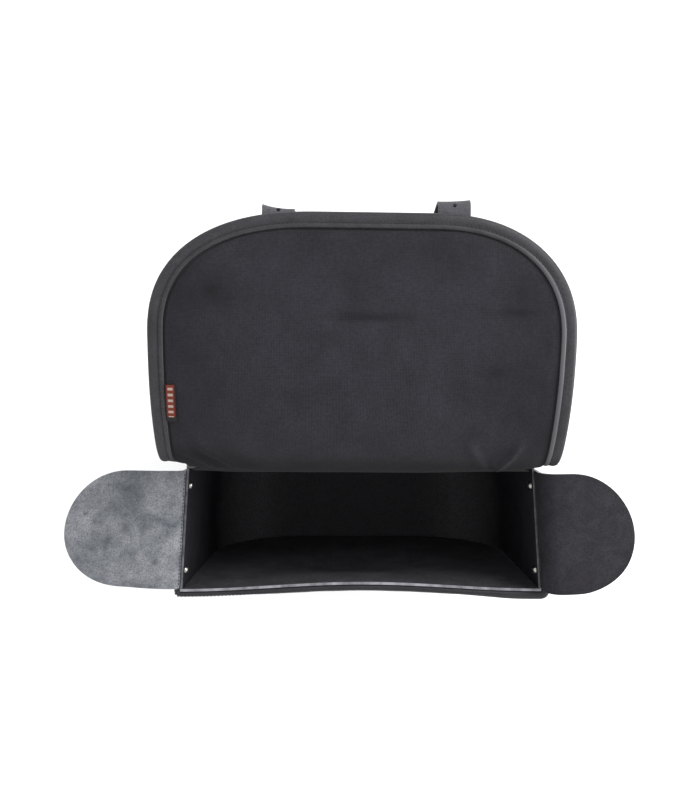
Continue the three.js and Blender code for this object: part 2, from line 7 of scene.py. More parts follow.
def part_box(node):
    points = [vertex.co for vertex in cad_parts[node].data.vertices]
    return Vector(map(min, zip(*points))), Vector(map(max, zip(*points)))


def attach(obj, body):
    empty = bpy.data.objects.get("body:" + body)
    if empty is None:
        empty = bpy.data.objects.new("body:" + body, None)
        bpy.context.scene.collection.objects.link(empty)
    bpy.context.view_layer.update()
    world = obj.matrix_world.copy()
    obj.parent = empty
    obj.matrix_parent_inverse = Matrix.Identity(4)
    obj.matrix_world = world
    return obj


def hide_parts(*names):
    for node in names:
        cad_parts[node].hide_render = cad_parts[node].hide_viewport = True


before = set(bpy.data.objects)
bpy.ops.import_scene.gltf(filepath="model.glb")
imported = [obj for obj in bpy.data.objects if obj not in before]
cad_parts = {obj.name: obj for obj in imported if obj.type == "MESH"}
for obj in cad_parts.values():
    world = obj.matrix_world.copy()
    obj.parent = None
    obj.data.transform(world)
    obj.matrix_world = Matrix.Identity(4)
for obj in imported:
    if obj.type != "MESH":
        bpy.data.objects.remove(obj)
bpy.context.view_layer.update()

# An open throw-over saddlebag seen from above. Sizes here are in millimetres, and to_metres
# turns a place into the frame's metres. The leather's leans repeat the ones of the construction.
MM = 0.001
PALE_FLOOR_SIZE = 60.0

# Sizes taken from the frame
BODY_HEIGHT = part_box("back_panel")[1][2] / MM
PANEL_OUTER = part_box("back_panel")[1][1] / MM
PANEL_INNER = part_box("back_panel")[0][1] / MM
GUSSET_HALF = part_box("gusset")[1][1] / MM
BODY_LEATHER = PANEL_OUTER - PANEL_INNER

# Sizes that the construction sets
GAP = 0.3
HALF_LENGTH = 201.5
SIDE_LEAN = math.radians(3)
CORNER_RADIUS = 115
MOUTH_FLARE = 4.7
RIM_BOW = 8
BOW_STRAIGHT = 30
BOW_FADE = 110
LID_WIDTH = 423
LID_SHIFT = -2.5
LID_LENGTH = 330
LID_TWIST = math.radians(0.85)
LID_TWIST_RISE = 70
LID_OVERLAP = 25
LID_CORNER_LENGTH = 122
LID_LEATHER = 2.5
NECK_INSET = 6
NECK_LENGTH = 42
SHOULDER_RUN = 14
BINDING_WIDTH = 14
BINDING_LEATHER = 1.4
BINDING_START = 54
LINING_ROOM = 1.5
LINING_CLOTH = 1
LINING_NECK_INSET = 6
LINING_TUCK = 12
LINING_BULGE = 6
LINING_BULGE_RUN = 72
EAR_LEATHER = 3
EAR_HALF = 67.5
EAR_BEND_DROP = 3
STRAP_HALF = 16
STRAP_MIDDLE = 87
STRAP_LEATHER = 3
STRAP_SEWN = 180
STRAP_FREE = 112
STRAP_TIP = 22
STRAP_TIP_WIDTH = 8
STRAP_HOLE_RADIUS = 2.5
STRAP_HOLE_PITCH = 22
STRAP_HOLES = 4
LABEL_ALONG = 119
LABEL_LENGTH = 40
LABEL_WIDTH = 10
LABEL_CLOTH = 0.9
WEAVE_PITCH = 1.5
BANDS_PER_SCALE = 3.2
# Painted light on the binding's ridge: paler from the first x, in mm, and full at the second
PAINTED_LIGHT_FROM = 150
PAINTED_LIGHT_FULL = 200

# Share of the length along a piece, and its lean in degrees from straight up
LID_LEANS = (
    (0, 0), (0.061, 8), (0.152, 20), (0.22, 38), (0.274, 53),
    (0.341, 60), (0.524, 78), (0.67, 87), (1, 91),
)
EAR_LEANS = {
    "left": ((0, 0), (0.1, 84), (0.3, 90), (0.6, 93), (1, 91)),
    "right": ((0, 0), (0.12, -6), (0.24, 30), (0.35, 82), (0.6, 94), (1, 92)),
}
STRAPS = {
    # The left strap takes a paler, painted lit copy of the strap leather
    "left": {
        "side": -1, "first_hole": 5, "face": "painted_lit_strap", "slant": 2.2, "curl": 1.6,
        "leans": ((0, 92), (0.03, 115), (0.1, 180), (0.25, 190), (0.6, 191), (1, 184)),
    },
    "right": {
        "side": 1, "first_hole": 12, "face": "strap", "slant": -1.0, "curl": 0.6,
        "leans": ((0, 91), (0.05, 100), (0.21, 176), (0.35, 190), (0.6, 191), (1, 184)),
    },
}
# Each front corner of the lid: how far it reaches along X, and its squareness (2 is an ellipse)
LID_SIDES = {
    "left": {"side": -1, "reach": 168, "squareness": 2.4},
    "right": {"side": 1, "reach": 143, "squareness": 2.3},
}
EARS = {
    "left": {"side": -1, "flap": 141, "base": 38, "shift": -0.5, "front_taper": 0.04, "tip_shift": 0.3},
    "right": {"side": 1, "flap": 132, "base": 47, "shift": -1, "front_taper": 0.03, "tip_shift": 2.0},
}


# Small helpers

def to_metres(x, y, z):
    return Vector((x * MM, y * MM, z * MM))


def smooth(value):
    t = min(1, max(0, value))
    return t * t * (3 - 2 * t)


def mix(low, high, t):
    return low + (high - low) * t


def spaced(low, high, step):
    count = max(1, round((high - low) / step))
    return [mix(low, high, i / count) for i in range(count + 1)]


def wave(seed, x, y, size):
    """Soft noise from -1 to 1 with hills about size mm apart."""
    return noise.noise(Vector((x / size + seed * 17.3, y / size - seed * 9.1, seed * 3.7)))


def colour(hex_value):
    """sRGB hex to the linear colour that shaders take."""
    def linear(part):
        c = int(part, 16) / 255
        return c / 12.92 if c <= 0.04045 else ((c + 0.055) / 1.055) ** 2.4
    return (*(linear(hex_value[i:i + 2]) for i in (0, 2, 4)), 1)


def flared(x, y, z):
    share = min(1, max(-1, y / GUSSET_HALF))
    return x * (1 - share * MOUTH_FLARE / HALF_LENGTH), y, z


# Materials: every tree is made of nodes added by one function

def add(tree, kind, settings=None, inputs=None):
    made = tree.nodes.new(kind)
    for key, value in (settings or {}).items():
        setattr(made, key, value)
    for key, value in (inputs or {}).items():
        socket = made.inputs[key]
        if isinstance(value, bpy.types.NodeSocket):
            tree.links.new(value, socket)
        else:
            socket.default_value = value
    return made


def new_material(name):
    made = bpy.data.materials.new(name)
    made.use_nodes = True
    made.node_tree.nodes.clear()
    return made, made.node_tree


def set_stops(reader, stops):
    """stops are (position, strength) of a pattern."""
    elements = reader.color_ramp.elements
    while len(elements) < len(stops):
        elements.new(0.5)
    for element, (position, strength) in zip(elements, stops):
        element.position = position
        element.color = (strength, strength, strength, 1)


def soft_pattern(tree, size_mm, detail=3, rough=0.55, distortion=0, on=None):
    """Soft hills about size_mm apart, laid on the piece's own place or on the coordinate that is given."""
    if on is None:
        on = add(tree, "ShaderNodeTexCoord").outputs["Object"]
    return add(tree, "ShaderNodeTexNoise", inputs={
        "Vector": on, "Scale": 1 / (size_mm * MM), "Detail": detail, "Roughness": rough,
        "Distortion": distortion,
    }).outputs["Fac"]


def layer(tree, under, over, share, stops=None):
    """One colour over another, as strong as share says, or as stops read share."""
    if stops:
        reader = add(tree, "ShaderNodeValToRGB", inputs={"Fac": share})
        set_stops(reader, stops)
        share = reader.outputs["Color"]
    under, over = (colour(tone) if isinstance(tone, str) else tone for tone in (under, over))
    return add(tree, "ShaderNodeMix", {"data_type": "RGBA"}, {0: share, 6: under, 7: over}).outputs[2]


def finish_material(made, base, roughness, bump_height, bump_mm, strength=1, settings=None):
    """roughness is a number, or a pattern with its low and high roughness."""
    tree = made.node_tree
    if isinstance(roughness, tuple):
        pattern, low, high = roughness
        ranged = add(tree, "ShaderNodeMapRange", inputs={"Value": pattern, "To Min": low, "To Max": high})
        roughness = ranged.outputs["Result"]
    bump = add(tree, "ShaderNodeBump", inputs={
        "Strength": strength, "Distance": bump_mm * MM, "Height": bump_height,
    })
    shader = add(tree, "ShaderNodeBsdfPrincipled", inputs={
        "Base Color": base, "Roughness": roughness, "Normal": bump.outputs["Normal"],
        "Specular IOR Level": 0.3, **(settings or {}),
    })
    add(tree, "ShaderNodeOutputMaterial", inputs={"Surface": shader.outputs["BSDF"]})
    return made


# Painted shade: the colour that darkens the creases of the leather's grain
CREASE_SHADE = "131215"


# Grain leather, rolled and dyed through: fine pebbles about 1.3 mm across with creases between them
# and a slow drift of tone, so that it looks handled and not painted
def grain_leather(name, base, pale, grain_mm=1.3, rough=(0.5, 0.68)):
    made, tree = new_material(name)
    place = add(tree, "ShaderNodeTexCoord").outputs["Object"]
    pebbles = add(tree, "ShaderNodeTexVoronoi", {"feature": "DISTANCE_TO_EDGE"}, {
        "Vector": place, "Scale": 1 / (grain_mm * MM), "Randomness": 1,
    })
    creases = add(tree, "ShaderNodeValToRGB", inputs={"Fac": pebbles.outputs["Distance"]})
    set_stops(creases, ((0, 0), (0.16, 0.8), (0.5, 1)))
    drift = soft_pattern(tree, 55, 4, 0.6)
    tone = layer(tree, base, pale, drift, ((0.3, 0), (0.75, 0.7)))
    tone = layer(tree, tone, "6f6f74", soft_pattern(tree, 9, 6, 0.7, 0.6), ((0.5, 0), (0.72, 0.1)))
    # Painted shade: the creases between the pebbles are darkened
    tone = layer(tree, CREASE_SHADE, tone, creases.outputs["Color"])
    return finish_material(made, tone, (drift, *rough), creases.outputs["Color"], 0.22, 0.7)


# Flesh side of split leather, buffed: short matt fibres, cloudy patches and a few dark specks.
# A painted light can turn it paler low in the bag, given with its colour and how high it reaches.
# Stains that are listed come with the piece, in the attribute that also carries the lining's smudges and painted
# shade.
def flesh_leather(name, base, pale, dark, cloud_mm, speck, cloud=(0.36, 0.66), painted_light_and_smudges=None, stained=False):
    made, tree = new_material(name)
    clouds = soft_pattern(tree, cloud_mm, 5, 0.66, 0.4)
    tone = layer(tree, base, pale, clouds, ((cloud[0], 0), (cloud[1], 1)))
    # Painted light: paler from the floor up to the given height, most a little above the floor
    if painted_light_and_smudges:
        floor_light_colour, floor_light_top = painted_light_and_smudges
        place = add(tree, "ShaderNodeTexCoord").outputs["Object"]
        height = add(tree, "ShaderNodeSeparateXYZ", inputs={"Vector": place}).outputs["Z"]
        up = add(tree, "ShaderNodeMapRange", inputs={"Value": height, "From Max": floor_light_top * MM})
        floor_light_stops = ((0.03, 0.3), (0.2, 0.6), (0.45, 0.5), (1, 0))
        tone = layer(tree, tone, floor_light_colour, up.outputs["Result"], floor_light_stops)
    fibre = soft_pattern(tree, 1.5, 4, 0.7, 0.6)
    tone = layer(tree, tone, dark, fibre, ((0.36, 0.7), (0.56, 0)))
    tone = layer(tree, tone, dark, soft_pattern(tree, 5, 3, 0.6, 0.3), ((speck, 0), (speck + 0.04, 0.75)))
    if stained:
        stain = add(tree, "ShaderNodeAttribute", {"attribute_name": "smudge_and_shade"}).outputs["Fac"]
        tone = layer(tree, tone, dark, stain)
    return finish_material(made, tone, 0.92, fibre, 0.5, 0.6, {"Specular IOR Level": 0.12})


# Cut edge of leather: fibres packed in layers, rubbed grey by use
def cut_edge(name, base, pale):
    made, tree = new_material(name)
    tone = layer(tree, base, pale, soft_pattern(tree, 14, 3, 0.6), ((0.35, 0), (0.65, 1)))
    return finish_material(made, tone, 0.6, soft_pattern(tree, 0.9, 4, 0.7), 0.25, 0.6)


# Smooth folded leather of the binding: tight grain, polished where hands rub it.
# A painted light makes it paler towards the lid's right side.
def binding_leather(name, base, pale, painted_light_right=None):
    made, tree = new_material(name)
    drift = soft_pattern(tree, 30, 4, 0.6)
    grain = soft_pattern(tree, 1.6, 4, 0.7)
    tone = layer(tree, base, pale, drift, ((0.35, 0), (0.7, 1)))
    # Painted shade: the low parts of the grain are darkened
    tone = layer(tree, tone, CREASE_SHADE, grain, ((0.36, 0.75), (0.54, 0)))
    # Painted light: paler towards the lid's right side
    if painted_light_right:
        place = add(tree, "ShaderNodeTexCoord").outputs["Object"]
        x = add(tree, "ShaderNodeSeparateXYZ", inputs={"Vector": place}).outputs["X"]
        right = add(tree, "ShaderNodeMapRange", inputs={
            "Value": x, "From Min": PAINTED_LIGHT_FROM * MM, "From Max": PAINTED_LIGHT_FULL * MM,
        })
        tone = layer(tree, tone, painted_light_right, right.outputs["Result"])
    return finish_material(made, tone, (drift, 0.4, 0.58), grain, 0.2, 0.6)


# Lining: plain-woven cloth. Its threads are 0.5 mm, drawn here at 1.5 mm so that the weave shows.
# A wave texture of scale 1 has about 3.2 bands to the metre.
def lining_cloth(name):
    made, tree = new_material(name)
    flat = add(tree, "ShaderNodeUVMap", {"uv_map": "flat"}).outputs["UV"]
    threads = []
    for direction in ("X", "Y"):
        threads.append(add(tree, "ShaderNodeTexWave", {
            "wave_type": "BANDS", "bands_direction": direction, "wave_profile": "SIN",
        }, {
            "Vector": flat, "Scale": 1 / (WEAVE_PITCH * MM) / BANDS_PER_SCALE, "Distortion": 0.6,
            "Detail": 1, "Detail Scale": 2.0,
        }).outputs["Fac"])
    weave = add(tree, "ShaderNodeMath", {"operation": "MULTIPLY"}, {0: threads[0], 1: threads[1]}).outputs[0]
    slub = soft_pattern(tree, 3.2, 5, 0.75, on=flat)
    painted_light_and_smudges = add(tree, "ShaderNodeAttribute", {"attribute_name": "smudge_and_shade"}).outputs["Fac"]
    tone = layer(tree, "26252a", "302f35", soft_pattern(tree, 48, 4, 0.62, 0.4, on=flat), ((0.3, 0), (0.7, 1)))
    tone = layer(tree, tone, "18181b", slub, ((0.38, 0.55), (0.62, 0)))
    tone = layer(tree, tone, "3a393f", weave, ((0, 0), (1, 0.3)))
    # Smudges and painted shade: the cloth darkens where its per-point attribute says
    tone = layer(tree, tone, "141416", painted_light_and_smudges)
    height = add(tree, "ShaderNodeMath", {"operation": "MULTIPLY_ADD"}, {0: slub, 1: 0.9, 2: weave}).outputs[0]
    return finish_material(made, tone, 0.88, height, 0.35, 0.7, {
        "Specular IOR Level": 0.14, "Sheen Weight": 0.03, "Sheen Roughness": 0.4,
    })


# Nickel plate on brass, tumbled: bright but slightly soft, with fine rub marks
def nickel_plate(name):
    made, tree = new_material(name)
    rub = soft_pattern(tree, 2.2, 6, 0.7, 1.0)
    tone = layer(tree, "96938d", "c4c1bb", rub)
    return finish_material(made, tone, (rub, 0.2, 0.42), rub, 0.05, 0.4, {"Metallic": 1.0})


# Waxed sewing thread: plies twisted about 1 mm apart
def thread(name, base, pale):
    made, tree = new_material(name)
    plies = soft_pattern(tree, 0.8, 2, 0.5)
    return finish_material(made, layer(tree, base, pale, plies), 0.5, plies, 0.2, 0.6)


# Woven tape of the tab: rust threads with plain pale bars across it, and no lettering
def woven_tape(name):
    made, tree = new_material(name)
    flat = add(tree, "ShaderNodeUVMap", {"uv_map": "flat"}).outputs["UV"]
    weave = soft_pattern(tree, 0.9, 2, 0.5, on=flat)
    axes = add(tree, "ShaderNodeSeparateXYZ", inputs={"Vector": flat}).outputs
    parts = {"across": axes["X"], "along": axes["Y"]}
    for part, operation, source, limit in (
        ("pitches", "DIVIDE", "along", 6.2 * MM),
        ("bar", "FRACT", "pitches", 0),
        ("off_middle", "ABSOLUTE", "across", 0),
        ("barred", "LESS_THAN", "off_middle", 2.6 * MM),
        ("hem", "GREATER_THAN", "off_middle", 3.9 * MM),
        ("end_fold", "LESS_THAN", "along", 5 * MM),
    ):
        worked = add(tree, "ShaderNodeMath", {"operation": operation}, {0: parts[source], 1: limit})
        parts[part] = worked.outputs[0]
    tone = layer(tree, "4a1c15", "74301f", weave)
    with_bars = layer(tree, tone, "a3948c", parts["bar"], ((0, 0), (0.5, 0), (0.6, 0.8), (0.92, 0.8)))
    tone = layer(tree, tone, with_bars, parts["barred"])
    tone = layer(tree, tone, "2d1512", parts["hem"])
    tone = layer(tree, tone, "1d1b1d", parts["end_fold"])
    return finish_material(made, tone, 0.85, weave, 0.25, 0.6)


# Floor: plain pale matt paint
def pale_floor(name):
    made, tree = new_material(name)
    mottle = soft_pattern(tree, 400, 2)
    return finish_material(made, layer(tree, "fbfbfb", "fdfdfd", mottle), 0.9, mottle, 0.05, 0.1)


MATERIALS = {
    "body": grain_leather("black_grain_leather", "232226", "2e2d32"),
    # Painted light: the flesh sides inside the bag are paler towards the bottom
    "inside": flesh_leather("dark_flesh_side", "1b1a1f", "242328", "0f0f11", 22, 0.8, painted_light_and_smudges=("5e5e61", 96)),
    # Painted light: the front panel's inner face takes a paler, lit copy of the inside flesh side
    "front_inside_painted_lit": flesh_leather("painted_lit_flesh_side", "404044", "4e4e53", "202023", 26, 0.8, painted_light_and_smudges=("4e4e52", 60)),
    "edge": cut_edge("rubbed_cut_edge", "5c5c62", "8c8c92"),
    "side_edge": cut_edge("fibrous_cut_edge", "3c3c40", "5c5c61"),
    "dark_edge": cut_edge("inked_cut_edge", "3a3a3e", "56565a"),
    "binding": binding_leather("folded_binding_leather", "29282c", "36353a"),
    # The ridge has painted light towards the lid's right side
    "ridge": binding_leather("binding_ridge_painted_light", "2a292d", "363539", painted_light_right="4e4d52"),
    "roll": binding_leather("rolled_rim_leather", "1d1c20", "27262b"),
    "chape": grain_leather("chape_leather", "2b2a2e", "38373c", 1.0, (0.42, 0.6)),
    "strap": grain_leather("strap_leather", "4a4950", "68676f", 1.0, (0.42, 0.6)),
    # Painted light: a paler, lit copy of the strap leather, used for the left strap
    "painted_lit_strap": grain_leather("strap_leather_painted_lit", "5a5960", "7c7b83", 1.0, (0.42, 0.6)),
    "grey_flesh": flesh_leather(
        "grey_split_leather", "5a5f64", "8b8c91", "3f4146", 30, 0.72, (0.34, 0.66), stained=True,
    ),
    "ear_grain": flesh_leather("charcoal_buffed_leather", "28272b", "343338", "18171a", 24, 0.78),
    "lining": lining_cloth("charcoal_woven_cloth"),
    "nickel": nickel_plate("nickel_plate"),
    "thread": thread("waxed_black_thread", "161618", "3a3a3e"),
    "pale_thread": thread("waxed_grey_thread", "4a4a4e", "707074"),
    "tape": woven_tape("woven_rust_tape"),
    "floor": pale_floor("pale_paint"),
}


# Meshes

def linked(name, data):
    made = bpy.data.objects.new(name, data)
    bpy.context.scene.collection.objects.link(made)
    return made


def new_object(name, vertices, faces, materials, flat_places=None, smudges_and_shade=None):
    mesh = bpy.data.meshes.new(name)
    mesh.from_pydata(vertices, [], faces)
    for key in materials:
        mesh.materials.append(MATERIALS[key])
    if flat_places:
        layer = mesh.uv_layers.new(name="flat")
        for loop in mesh.loops:
            layer.data[loop.index].uv = flat_places[loop.vertex_index]
    if smudges_and_shade:
        layer = mesh.attributes.new("smudge_and_shade", "FLOAT", "POINT")
        layer.data.foreach_set("value", smudges_and_shade)
    return linked(name, mesh)


def apply_modifiers(made, sharp_degrees=50):
    graph = bpy.context.evaluated_depsgraph_get()
    mesh = bpy.data.meshes.new_from_object(made.evaluated_get(graph), depsgraph=graph)
    made.modifiers.clear()
    made.data = mesh
    mesh.shade_smooth()
    mesh.set_sharp_from_angle(angle=math.radians(sharp_degrees))


def rub_edges(made, width, sharp_degrees):
    bevel = made.modifiers.new("rubbed_edges", "BEVEL")
    bevel.width = width * MM
    bevel.segments = 2
    bevel.limit_method = "ANGLE"
    bevel.angle_limit = math.radians(sharp_degrees)


def thicken(made, thickness, side=0, edge_slot=1, inner_slot=0, edge_round=0.6):
    """Gives a surface its thickness. side -1 grows it backwards, 0 both ways and 1 along its normals."""
    wall = made.modifiers.new("wall", "SOLIDIFY")
    wall.thickness = thickness * MM
    wall.offset = side
    wall.use_even_offset = True
    wall.use_quality_normals = True
    wall.material_offset_rim = edge_slot
    wall.material_offset = inner_slot
    rub_edges(made, edge_round, 50)
    apply_modifiers(made)


def grid_faces(rows, columns):
    stride = columns + 1
    return [(a, a + 1, a + 1 + stride, a + stride)
            for row in range(rows - 1) for a in range(row * stride, row * stride + columns)]


def surface(name, stations, reach_at, place_at, columns, materials, middle=0, smudge_and_shade_at=None, flip=False):
    """A grid whose rows run across a piece, from one limit to the other. place_at gives each point's place."""
    vertices = []
    flats = []
    smudges_and_shade = []
    for along in stations:
        low, high = reach_at(along)
        for column in range(columns + 1):
            across = mix(low, high, column / columns)
            vertices.append(to_metres(*place_at(across, along)))
            flats.append(((across - middle) * MM, (along - stations[0]) * MM))
            smudges_and_shade.append(smudge_and_shade_at(across, along) if smudge_and_shade_at else 0)
    faces = grid_faces(len(stations), columns)
    if flip:
        faces = [quad[::-1] for quad in faces]
    return new_object(name, vertices, faces, materials, flats, smudges_and_shade if smudge_and_shade_at else None)


def swept(name, rings, materials, loop=False, bands=()):
    """A tube through rings with the same number of points, capped or joined into a loop.
    bands names the sides of the section that take the second material."""
    count = len(rings[0])
    vertices = [to_metres(*point) for ring in rings for point in ring]
    faces = []
    for r in range(len(rings) - (0 if loop else 1)):
        after = (r + 1) % len(rings)
        for i in range(count):
            j = (i + 1) % count
            faces.append((r * count + i, r * count + j, after * count + j, after * count + i))
    if not loop:
        faces.append(tuple(range(count))[::-1])
        faces.append(tuple((len(rings) - 1) * count + i for i in range(count)))
    made = new_object(name, vertices, faces, materials)
    if bands:
        for polygon in made.data.polygons[:(len(rings) - 1) * count]:
            polygon.material_index = 1 if polygon.index % count in bands else 0
    recalculate(made)
    return made


def recalculate(made):
    work = bmesh.new()
    work.from_mesh(made.data)
    bmesh.ops.recalc_face_normals(work, faces=work.faces)
    work.to_mesh(made.data)
    work.free()


def place_on(made, slot_name, *nodes):
    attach(made, "root")
    if nodes:
        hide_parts(*nodes)
    return made


# A sheet of leather worked out from its lean at each length along it

class LeatherPath:
    STEPS = 400

    def __init__(self, start, start_lean, leans, length):
        self.length = length
        self.start_lean = start_lean
        self.leans = leans
        self.step = length / self.STEPS
        self.points = [start]
        for i in range(self.STEPS):
            angle = self.lean_at((i + 0.5) / self.STEPS)
            a, b = self.points[-1]
            self.points.append((a + self.step * math.sin(angle), b + self.step * math.cos(angle)))

    def lean_at(self, share):
        for (low, low_lean), (high, high_lean) in zip(self.leans, self.leans[1:]):
            if share <= high:
                t = (share - low) / (high - low)
                return self.start_lean + math.radians(mix(low_lean, high_lean, t))
        return self.start_lean + math.radians(self.leans[-1][1])

    def at(self, along):
        share = min(1, max(0, along / self.length))
        angle = self.lean_at(share)
        low = min(int(share * self.STEPS), self.STEPS - 1)
        rest = along if along < 0 else along - low * self.step
        a, b = self.points[low]
        da, db = math.sin(angle), math.cos(angle)
        return a + rest * da, b + rest * db, db, -da


# Body outline

CORNER_RISE = BODY_HEIGHT - CORNER_RADIUS
CORNER_CENTRE = HALF_LENGTH - (CORNER_RADIUS + CORNER_RISE * math.sin(SIDE_LEAN)) / math.cos(SIDE_LEAN)
TANGENT_HEIGHT = CORNER_RADIUS * (1 - math.sin(SIDE_LEAN))


def body_outline(step):
    """Points (x, z, normal x, normal z) from the left end of the mouth round the base to the right end."""
    rows = []
    for z in spaced(BODY_HEIGHT, TANGENT_HEIGHT, -step)[:-1]:
        x = HALF_LENGTH - (BODY_HEIGHT - z) * math.tan(SIDE_LEAN)
        rows.append((-x, z, -math.cos(SIDE_LEAN), -math.sin(SIDE_LEAN)))
    for angle in spaced(SIDE_LEAN, math.pi / 2, step / CORNER_RADIUS):
        nx, nz = -math.cos(angle), -math.sin(angle)
        rows.append((-CORNER_CENTRE + CORNER_RADIUS * nx, CORNER_RADIUS * (1 + nz), nx, nz))
    base = [(x, 0, 0, -1) for x in spaced(-CORNER_CENTRE, CORNER_CENTRE, step)[1:-1]]
    return rows + base + [(-x, z, -nx, nz) for x, z, nx, nz in reversed(rows)]


def both(half, middle=0):
    return middle - half, middle + half


def panel_half(z):
    if z >= TANGENT_HEIGHT:
        return HALF_LENGTH - (BODY_HEIGHT - z) * math.tan(SIDE_LEAN)
    down = CORNER_RADIUS - z
    return CORNER_CENTRE + math.sqrt(max(0, CORNER_RADIUS ** 2 - down ** 2))


def panel_heights(step):
    angles = spaced(0, math.pi / 2 - SIDE_LEAN, step / CORNER_RADIUS)
    corner = [CORNER_RADIUS * (1 - math.cos(angle)) for angle in angles]
    return corner + spaced(TANGENT_HEIGHT, BODY_HEIGHT, step)[1:]


def front_bow(x, z):
    along = min(1, abs(x) / HALF_LENGTH)
    depth = smooth((z - (BODY_HEIGHT - BOW_STRAIGHT - BOW_FADE)) / BOW_FADE)
    return RIM_BOW * math.cos(along * math.pi / 2) ** 2 * depth


def edge_fade(x, z, run):
    """0 at a panel's sewn edge, 1 further in than run."""
    inset = panel_half(z) - abs(x)
    return smooth(inset / run) * smooth(z / run)


def front_relief(x, z):
    """How far the front panel stands out: a soft belly between the rim and the buckles, and slow waves."""
    belly = 7 * math.exp(-(x / 95) ** 2 - ((z - 168) / 52) ** 2)
    upper = smooth((BODY_HEIGHT - 22 - z) / 40)
    near_buckle = math.exp(-((abs(x) - 89) / 34) ** 2 - ((z - 86) / 42) ** 2)
    waves = 1.6 * wave(1, x, z, 70) * (1 - near_buckle)
    return (belly + waves) * edge_fade(x, z, 45) * upper


def back_relief(x, z):
    waves = wave(2, x, z, 80) - 0.8
    near_loop = math.exp(-((abs(x) - 98) / 60) ** 2 - ((z - 215) / 30) ** 2)
    return waves * edge_fade(x, z, 45) * smooth((BODY_HEIGHT - 32 - z) / 40) * (1 - near_loop)


def make_front_panel():
    def place(x, z):
        return flared(x, -PANEL_OUTER + front_bow(x, z) - front_relief(x, z), z)
    # The inner face takes the paler, painted lit copy of the flesh side
    made = surface("front_panel_leather", panel_heights(5), lambda z: both(panel_half(z)), place, 70,
                   ["body", "edge", "front_inside_painted_lit"])
    thicken(made, BODY_LEATHER, -1, 1, 2)
    return place_on(made, "body_leather", "front_panel")


def make_back_panel():
    def place(x, z):
        return flared(x, PANEL_OUTER + back_relief(x, z), z)
    made = surface("back_panel_leather", panel_heights(6), lambda z: both(panel_half(z)), place, 60,
                   ["body", "dark_edge", "inside"], flip=True)
    thicken(made, BODY_LEATHER, -1, 1, 2)
    return place_on(made, "body_leather", "back_panel")


def gusset_relief(x, y, z):
    """The side walls swell a little between the ears' bases and the round corners."""
    across = math.cos(math.pi / 2 * y / GUSSET_HALF)
    band = smooth((z - 45) / 70) * smooth((236 - z) / 60)
    return (3.2 * across + 1.2 * wave(3, y, z, 60) * across) * band


def make_gusset():
    outline = body_outline(6)
    columns = 24
    vertices = []
    for x, z, nx, nz in outline:
        for column in range(columns + 1):
            y = GUSSET_HALF * (2 * column / columns - 1)
            out = gusset_relief(x, y, z)
            vertices.append(to_metres(*flared(x + nx * out, y, z + nz * out)))
    faces = grid_faces(len(outline), columns)
    made = new_object("gusset_leather", vertices, faces, ["body", "side_edge", "inside"])
    thicken(made, BODY_LEATHER, -1, 1, 2)
    return place_on(made, "body_leather", "gusset")


def rim_path(step):
    """The outside of the front rim with its two corners: (x, y, outward x, outward y)."""
    end = -70.5
    rows = [(-HALF_LENGTH, end, -1, 0)]
    rows += [(-HALF_LENGTH, -PANEL_OUTER, -math.cos(t), -math.sin(t)) for t in spaced(0, math.pi / 2, 0.2)]
    for x in spaced(-HALF_LENGTH, HALF_LENGTH, step)[1:-1]:
        rows.append((x, front_bow(x, BODY_HEIGHT) - PANEL_OUTER, 0, -1))
    rows += [(HALF_LENGTH, -PANEL_OUTER, math.cos(t), -math.sin(t)) for t in spaced(math.pi / 2, 0, -0.2)]
    rows.append((HALF_LENGTH, end, 1, 0))
    return rows


# Section of the rim roll: how far out and how far above the rim, with a sewn groove near its foot
ROLL_SECTION = (
    (0.3, -19.6), (3.0, -20.0), (5.2, -19.2), (5.6, -17.6), (4.6, -16.4), (5.6, -15.2), (7.4, -13.0),
    (8.3, -9.5), (8.4, -6.0), (8.0, -3.0), (6.9, -0.9), (5.2, 0.4), (3.2, 0.6), (1.6, 0.1), (0.6, -1.2),
    (0.3, -3.0), (0.3, -11.0),
)


def make_rim_roll():
    rings = []
    for i, (x, y, nx, ny) in enumerate(rim_path(5)):
        swell = 0.25 * wave(4, x, 0, 12)
        fuller = 1 + 0.3 * smooth((x - 110) / 70) - 0.2 * smooth((-x - 70) / 90)
        ring = []
        for out, up in ROLL_SECTION:
            far = GAP + (out - GAP) * fuller + swell * smooth((out - 1) / 4)
            ring.append(flared(x + nx * far, y + ny * far, BODY_HEIGHT + up))
        rings.append(ring)
    made = swept("front_rim_roll_leather", rings, ["roll"])
    soften = made.modifiers.new("soften", "SUBSURF")
    soften.levels = 1
    soften.render_levels = 1
    apply_modifiers(made, 70)
    return place_on(made, "binding_leather", "front_rim_roll")


# Lid

LID_MIDDLE = PANEL_OUTER + GAP + LID_LEATHER / 2
LID_PATH = LeatherPath((LID_MIDDLE, BODY_HEIGHT), 0, LID_LEANS, LID_LENGTH)
NECK_HALF = HALF_LENGTH - MOUTH_FLARE - NECK_INSET
LINING_LIE = LID_LEATHER / 2 + GAP + LINING_CLOTH / 2
LINING_SEAT = LID_MIDDLE - PANEL_INNER + GAP + LINING_CLOTH / 2
CORNER_START = LID_LENGTH - LID_CORNER_LENGTH


def lid_relief(x, along):
    """Slow waves of the lid's leather, none where it is sewn to the back panel."""
    rise = smooth((along - 40) / 80)
    edge_droop = -2.5 * smooth((along - 250) / 80) * (2 * x / LID_WIDTH) ** 2
    return rise * (2.2 * wave(5, x, along, 120) + edge_droop)


def twisted(x, y, z):
    turn = -LID_TWIST * smooth((z - BODY_HEIGHT) / LID_TWIST_RISE)
    back = y - PANEL_OUTER
    return (
        x * math.cos(turn) - back * math.sin(turn),
        PANEL_OUTER + x * math.sin(turn) + back * math.cos(turn),
        z,
    )


